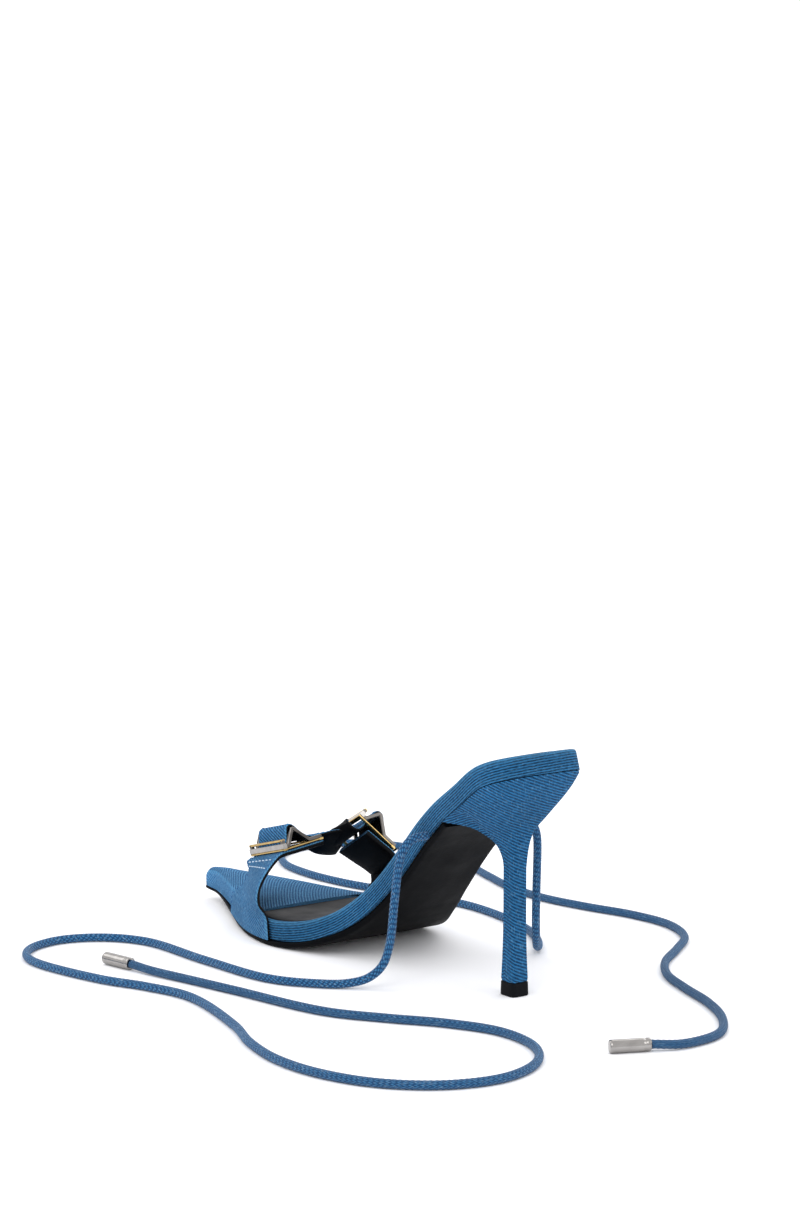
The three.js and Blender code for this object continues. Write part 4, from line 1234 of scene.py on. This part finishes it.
@dataclass
class Buckle:
    """One buckle: a flat plate frame, two rails bent up to a crest, a crest bar and an end bar."""

    name: str
    node: str
    place: BuckleFrame
    finishes: Finishes
    width: float = BUCKLE_WIDTH
    length: float = BUCKLE_LENGTH
    crest: float = BUCKLE_CREST
    rail: float = 1.7
    plate: float = 0.9
    plate_face: float = -0.7
    strap: float = STRAP
    gap: float = GAP
    bevel: float = 0.28
    frame_bar: float = 2.2
    end_bar: float = 2.4
    top_bar: float = 1.1
    # Where the rails start to rise and where they are down again, as shares of the length
    rear_bend: float = 0.155
    front_bend: float = 0.668

    def _bar(self, path: Sequence[tuple], wide: float, thick: float) -> tuple[Array, list]:
        """Sweeps a bevelled bar along a bent path.

        Args:
            path: Places across, along and out of the buckle.
            wide: The bar's size in the buckle's plane, across its own run.
            thick: Its size square to that.

        Returns:
            Its points and faces.
        """
        spots = np.array([self.place.point(*spot) for spot in path])
        runs = unit(np.diff(spots, axis=0))
        flat = abs(float(runs[0] @ self.place.a)) > 0.5
        bevel = min(self.bevel, 0.35 * thick)
        half_w, half_t = wide / 2, thick / 2
        corners = []
        for sx, sy in ((1, 1), (-1, 1), (-1, -1), (1, -1)):
            first, second = (half_w - bevel, half_t), (half_w, half_t - bevel)
            pair = (second, first) if sx * sy > 0 else (first, second)
            corners += [(sx * w, sy * t) for w, t in pair]
        points = []
        ends = 0.25 * thick
        for k, spot in enumerate(spots):
            before, after = runs[max(k - 1, 0)], runs[min(k, len(runs) - 1)]
            mitre = unit(before + after)
            side = unit(np.cross(self.place.c, after)) if flat else self.place.a
            up = unit(np.cross(mitre, side))
            stretch = 1 / max(0.5, float(mitre @ after))
            shift = -ends * runs[0] if k == 0 else (ends * runs[-1] if k == len(spots) - 1 else 0)
            points += [spot + shift + w * side + t * stretch * up for w, t in corners]
        count = len(corners)
        faces = [list(range(count))[::-1], list(range(len(points) - count, len(points)))]
        for first in range(0, len(points) - count, count):
            for i in range(count):
                a, b = first + i, first + (i + 1) % count
                faces.append([a, b, b + count, a + count])
        return np.array(points), faces

    def _joined(self, name: str, bars: Sequence[tuple[Array, list]], finish: str) -> bpy.types.Object:
        """Joins bars into one piece with softened edges."""
        points, faces = [], []
        for spots, bar_faces in bars:
            base = len(points)
            points += spots.tolist()
            faces += [[base + i for i in face] for face in bar_faces]
        mesh = bpy.data.meshes.new(name)
        mesh.from_pydata((np.array(points) * MM).tolist(), [], faces)
        return finish_mesh(mesh, self.finishes.get(finish))

    def build(self) -> None:
        """Makes the gunmetal rails and bars and the gold plate frame."""
        plate = self.plate_face - self.plate / 2
        near = self.frame_bar / 2
        far = self.length - near
        seat = self.plate_face + self.rail / 2 - 0.1
        crest_at = CREST_AT * self.length
        lift = self.strap + self.gap + self.rail / 2
        crest = self.crest - self.rail / 4
        golden, dark, bright = [], [], []

        def across(b: float, c: float, wide: float, thick: float, past: float = 0.5) -> tuple:
            """A straight bar across the buckle, which reaches a little past its rails."""
            return self._bar([(-past, b, c), (self.width + past, b, c)], wide, thick)

        for b in (near, far):
            golden.append(across(b, plate, self.frame_bar, self.plate, 0.6))
        for a in (0.0, self.width):
            golden.append(self._bar([(a, near, plate), (a, far, plate)], self.rail, self.plate))
            bends = [(near, seat), (self.rear_bend * self.length, seat), (crest_at - 0.35, crest)]
            bends += [(crest_at + 0.35, crest), (self.front_bend * self.length, seat), (far, seat)]
            dark.append(self._bar([(a, b, c) for b, c in bends], self.rail, self.rail))
            dark.append(self._bar([(a, near, seat), (a, near, lift)], self.rail, self.rail))
        solid = self.plate_face + self.end_bar / 2 - 0.1
        bright.append(across(near, solid, self.frame_bar, self.end_bar))
        top = self.strap + self.gap + self.rail - self.top_bar / 2
        golden.append(across(near, top, self.rail, self.top_bar))
        dark.append(across(crest_at, self.crest - self.rail / 2, self.rail, self.rail, 0.0))
        rails = self._joined(f"{self.name}_rails", dark, "gun")
        settle(rails, [self.node])
        settle(self._joined(f"{self.name}_plate", golden, "gold"))
        settle(self._joined(f"{self.name}_end_bar", bright, "silver"))


@dataclass
class Tie:
    """A braided cotton cord with a metal end, which comes out of the sole seam and lies on the floor."""

    name: str
    route: tuple
    finishes: Finishes
    diameter: float = 3.5
    tag_diameter: float = 5.2
    gap: float = GAP
    # The braid is drawn coarser than its true 1 mm so that it shows
    pitch: float = 2.2
    sides: int = 16
    steps_per_pitch: int = 4

    def _cord(self) -> tuple[bpy.types.Object, Array]:
        """Makes the tube, its strands raised, and gives the line that it follows."""
        length = float(np.linalg.norm(np.diff(Spline(self.route).even(800), axis=0), axis=1).sum())
        line = Spline(self.route).even(int(length / self.pitch * self.steps_per_pitch))
        way = unit(np.gradient(line, axis=0))
        side = np.zeros_like(way)
        side[0] = unit(np.cross(way[0], (0, 0, 1)))
        for k in range(1, len(way)):
            side[k] = unit(side[k - 1] - way[k] * float(side[k - 1] @ way[k]))
        up = np.cross(side, way)
        angle = 2 * math.pi * np.arange(self.sides) / self.sides
        run = np.linspace(0, length, len(line))[:, None]
        turns = 4
        lay = 2 * math.pi * run / (turns * self.pitch)
        round_it, along = turns * angle[None, :], turns * lay
        raised = np.maximum(np.sin(round_it + along), np.sin(round_it - along))
        radius = self.diameter / 2 * (1 + 0.045 * (raised - 0.6))
        ring = np.cos(angle)[None, :, None] * side[:, None, :] + np.sin(angle)[None, :, None] * up[:, None, :]
        rings = line[:, None, :] + radius[..., None] * ring
        rings[..., 2] = np.maximum(rings[..., 2], 0.02)
        piece = Loft(f"{self.name}_cord", rings, end=End.FACE).build(self.finishes.get("cord"))
        return piece, line

    def _tag(self, start: Array, way: Array) -> bpy.types.Object:
        """Makes the metal end: a rolled mouth, a crimped neck and a plain barrel with a domed face."""
        way = unit(np.array([way[0], way[1], 0.0]))
        side, up = np.cross(way, (0, 0, 1.0)), np.array([0, 0, 1.0])
        full = self.tag_diameter / 2
        profile = (
            (0.0, 0.62), (0.0, 0.9), (0.25, 0.99), (0.7, 1.0), (1.5, 1.0), (1.8, 0.93), (2.3, 0.93),
            (2.6, 1.0), (3.2, 1.0), (9.0, 1.0), (15.0, 1.0), (15.6, 0.98), (15.9, 0.9), (16.0, 0.78),
        )
        angle = 2 * math.pi * np.arange(40) / 40
        rings = []
        for at, share in profile:
            round_it = np.cos(angle)[:, None] * side + np.sin(angle)[:, None] * up
            rings.append(start + way * (at + self.gap) + full * share * round_it)
        return Loft(f"{self.name}_end", np.array(rings), end=End.FACE).build(self.finishes.get("silver"))

    def build(self, node: str, tag_node: str) -> None:
        """Args:
            node: The CAD node of the cord.
            tag_node: The CAD node of its metal end.
        """
        cord, line = self._cord()
        settle(cord, [node])
        tag = self._tag(np.array(self.route[-1]), np.subtract(self.route[-1], self.route[-2]))
        settle(tag, [tag_node])


# Height of a cord's middle where it lies on the floor
LAID = 1.85
# Each tie's way from the seam to its end, in millimetres
INNER_ROUTE = (
    (32, 19.8, 62), (32, 22.4, 62.1), (32.1, 25.6, 61.8), (32.3, 28.6, 60.6), (32.6, 30.9, 58.2),
    (33, 32.3, 54.6), (33.5, 33.1, 50), (35, 34.2, 34), (36.4, 35.2, 19), (38.5, 37.4, 9.8),
    (42.2, 41.8, 4.6), (47.5, 48.5, 2.3), (57, 58, LAID), (74, 68, LAID), (117, 72, LAID), (160, 74, LAID),
    (177, 85, LAID), (184, 102, LAID), (178, 120, LAID), (161, 130, LAID), (116, 124, LAID),
    (93, 115, LAID), (70, 110, LAID), (22, 120, LAID), (-2, 129, LAID), (-27, 134, LAID), (-52, 132, LAID),
    (-75, 122, LAID), (-91, 104, LAID), (-96, 82, LAID), (-88, 61, LAID), (-70, 47, LAID), (-46, 44, LAID),
    (-24, 53, LAID), (-4, 67, LAID), (18, 80, LAID), (67, 90, LAID), (92, 95, LAID), (114, 100, 2.1),
    (126, 102, 2.65),
)
OUTER_ROUTE = (
    (32, -25.1, 62.2), (32, -28.2, 62.2), (32.1, -31.7, 61.8), (32.3, -34.7, 60.6), (32.6, -37, 58.2),
    (33, -38.4, 54.6), (33.6, -39.2, 50), (35.5, -40.4, 34), (37.3, -41.6, 19), (40, -44, 9.8),
    (44.6, -48.2, 4.6), (51.2, -54.6, 2.3), (64, -64, LAID), (84, -73, LAID), (131, -80, LAID),
    (179, -69, LAID), (204, -63, LAID), (230, -61, LAID), (256, -65, LAID), (277, -79, LAID),
    (284, -102, LAID), (274, -124, LAID), (252, -136, LAID), (200, -133, LAID), (175, -126, LAID),
    (150, -119, LAID), (124, -117, LAID), (98, -121, LAID), (73, -127, LAID), (49, -127, LAID),
    (28, -117, LAID), (13, -99, LAID), (-1, -80, LAID), (-18, -66, LAID), (-39, -57, LAID),
    (-61, -49, LAID), (-82, -37, LAID), (-98, -20, LAID), (-101, 1, 2.1), (-96, 12, 2.65),
)


def facing(place: tuple, aim: tuple) -> Euler:
    """Gives the rotation of a camera or lamp that looks from a place towards a point."""
    return (Vector(aim) - Vector(place)).to_track_quat("-Z", "Y").to_euler()


@dataclass
class Studio:
    """Pale floor, soft lights and the camera, at the photograph's angle."""

    camera_at: tuple = (-0.91395, 0.74051, 0.30237)
    camera_aim: tuple = (0.07664, 0.0, 0.15007)
    # The photograph's focal length is 3000 of its 1209 pixels of height
    lens: float = 36 * 3000 / 1209
    floor_size: float = 40.0
    lamp_aim: tuple = (0.06, 0, 0.04)
    # Place, size and power of each soft light, all aimed at the shoe
    lights: tuple = (
        ((-0.9, 1.5, 1.7), 1.3, 15.0),
        ((-1.7, -0.8, 1.3), 1.2, 7.0),
        ((1.4, 0.9, 1.6), 1.4, 8.0),
        ((0.6, -1.6, 1.5), 1.5, 8.0),
    )

    def camera(self) -> None:
        """Places the camera."""
        data = bpy.data.cameras.new("camera")
        data.lens = self.lens
        data.sensor_width = 36
        data.sensor_fit = "AUTO"
        data.clip_start, data.clip_end = 0.01, 60
        camera = bpy.data.objects.new("camera", data)
        bpy.context.scene.collection.objects.link(camera)
        camera.location = self.camera_at
        camera.rotation_euler = facing(self.camera_at, self.camera_aim)
        bpy.context.scene.camera = camera

    def floor(self) -> None:
        """Lays a plain pale floor."""
        half = self.floor_size / 2
        corners = [(-half, -half, 0), (half, -half, 0), (half, half, 0), (-half, half, 0)]
        mesh = bpy.data.meshes.new("floor")
        mesh.from_pydata(corners, [], [[0, 1, 2, 3]])
        mesh.materials.append(Paper("floor_paper", "#f7f7f9").build())
        floor = bpy.data.objects.new("floor", mesh)
        bpy.context.scene.collection.objects.link(floor)

    def light(self) -> None:
        """Hangs the soft lights and sets the pale surroundings."""
        for number, (place, size, power) in enumerate(self.lights):
            data = bpy.data.lights.new(f"softbox_{number + 1}", "AREA")
            data.shape = "SQUARE"
            data.size = size
            data.energy = power
            lamp = bpy.data.objects.new(data.name, data)
            lamp.location = place
            lamp.rotation_euler = facing(place, self.lamp_aim)
            bpy.context.scene.collection.objects.link(lamp)
        world = bpy.data.worlds.new("studio")
        world.use_nodes = True
        ground = world.node_tree.nodes["Background"]
        ground.inputs["Color"].default_value = linear("#fcfcfd")
        ground.inputs["Strength"].default_value = 1.15
        bpy.context.scene.world = world
        bpy.context.scene.view_settings.view_transform = "Standard"

    def build(self) -> None:
        """Sets up floor and lights."""
        self.floor()
        self.light()


def main() -> None:
    """Builds the shoe in the order that it is put together, camera and cords first."""
    logging.basicConfig(level=logging.INFO, format="%(message)s")
    studio = Studio()
    studio.camera()
    finishes = Finishes()
    Tie("tie_inner", INNER_ROUTE, finishes).build("tie_inner", "tie_tag_inner")
    Tie("tie_outer", OUTER_ROUTE, finishes).build("tie_outer", "tie_tag_outer")
    last = Last()
    Bottom(last, finishes).build()
    Heel(last, finishes).build()
    Toe(last, finishes).build()
    straps = Straps(last, finishes)
    straps.build()
    Buckle("buckle_one", "buckle_inner", straps.inner, finishes).build()
    Buckle("buckle_two", "buckle_outer", straps.outer, finishes).build()
    studio.build()


if __name__ == "__main__":
    main()
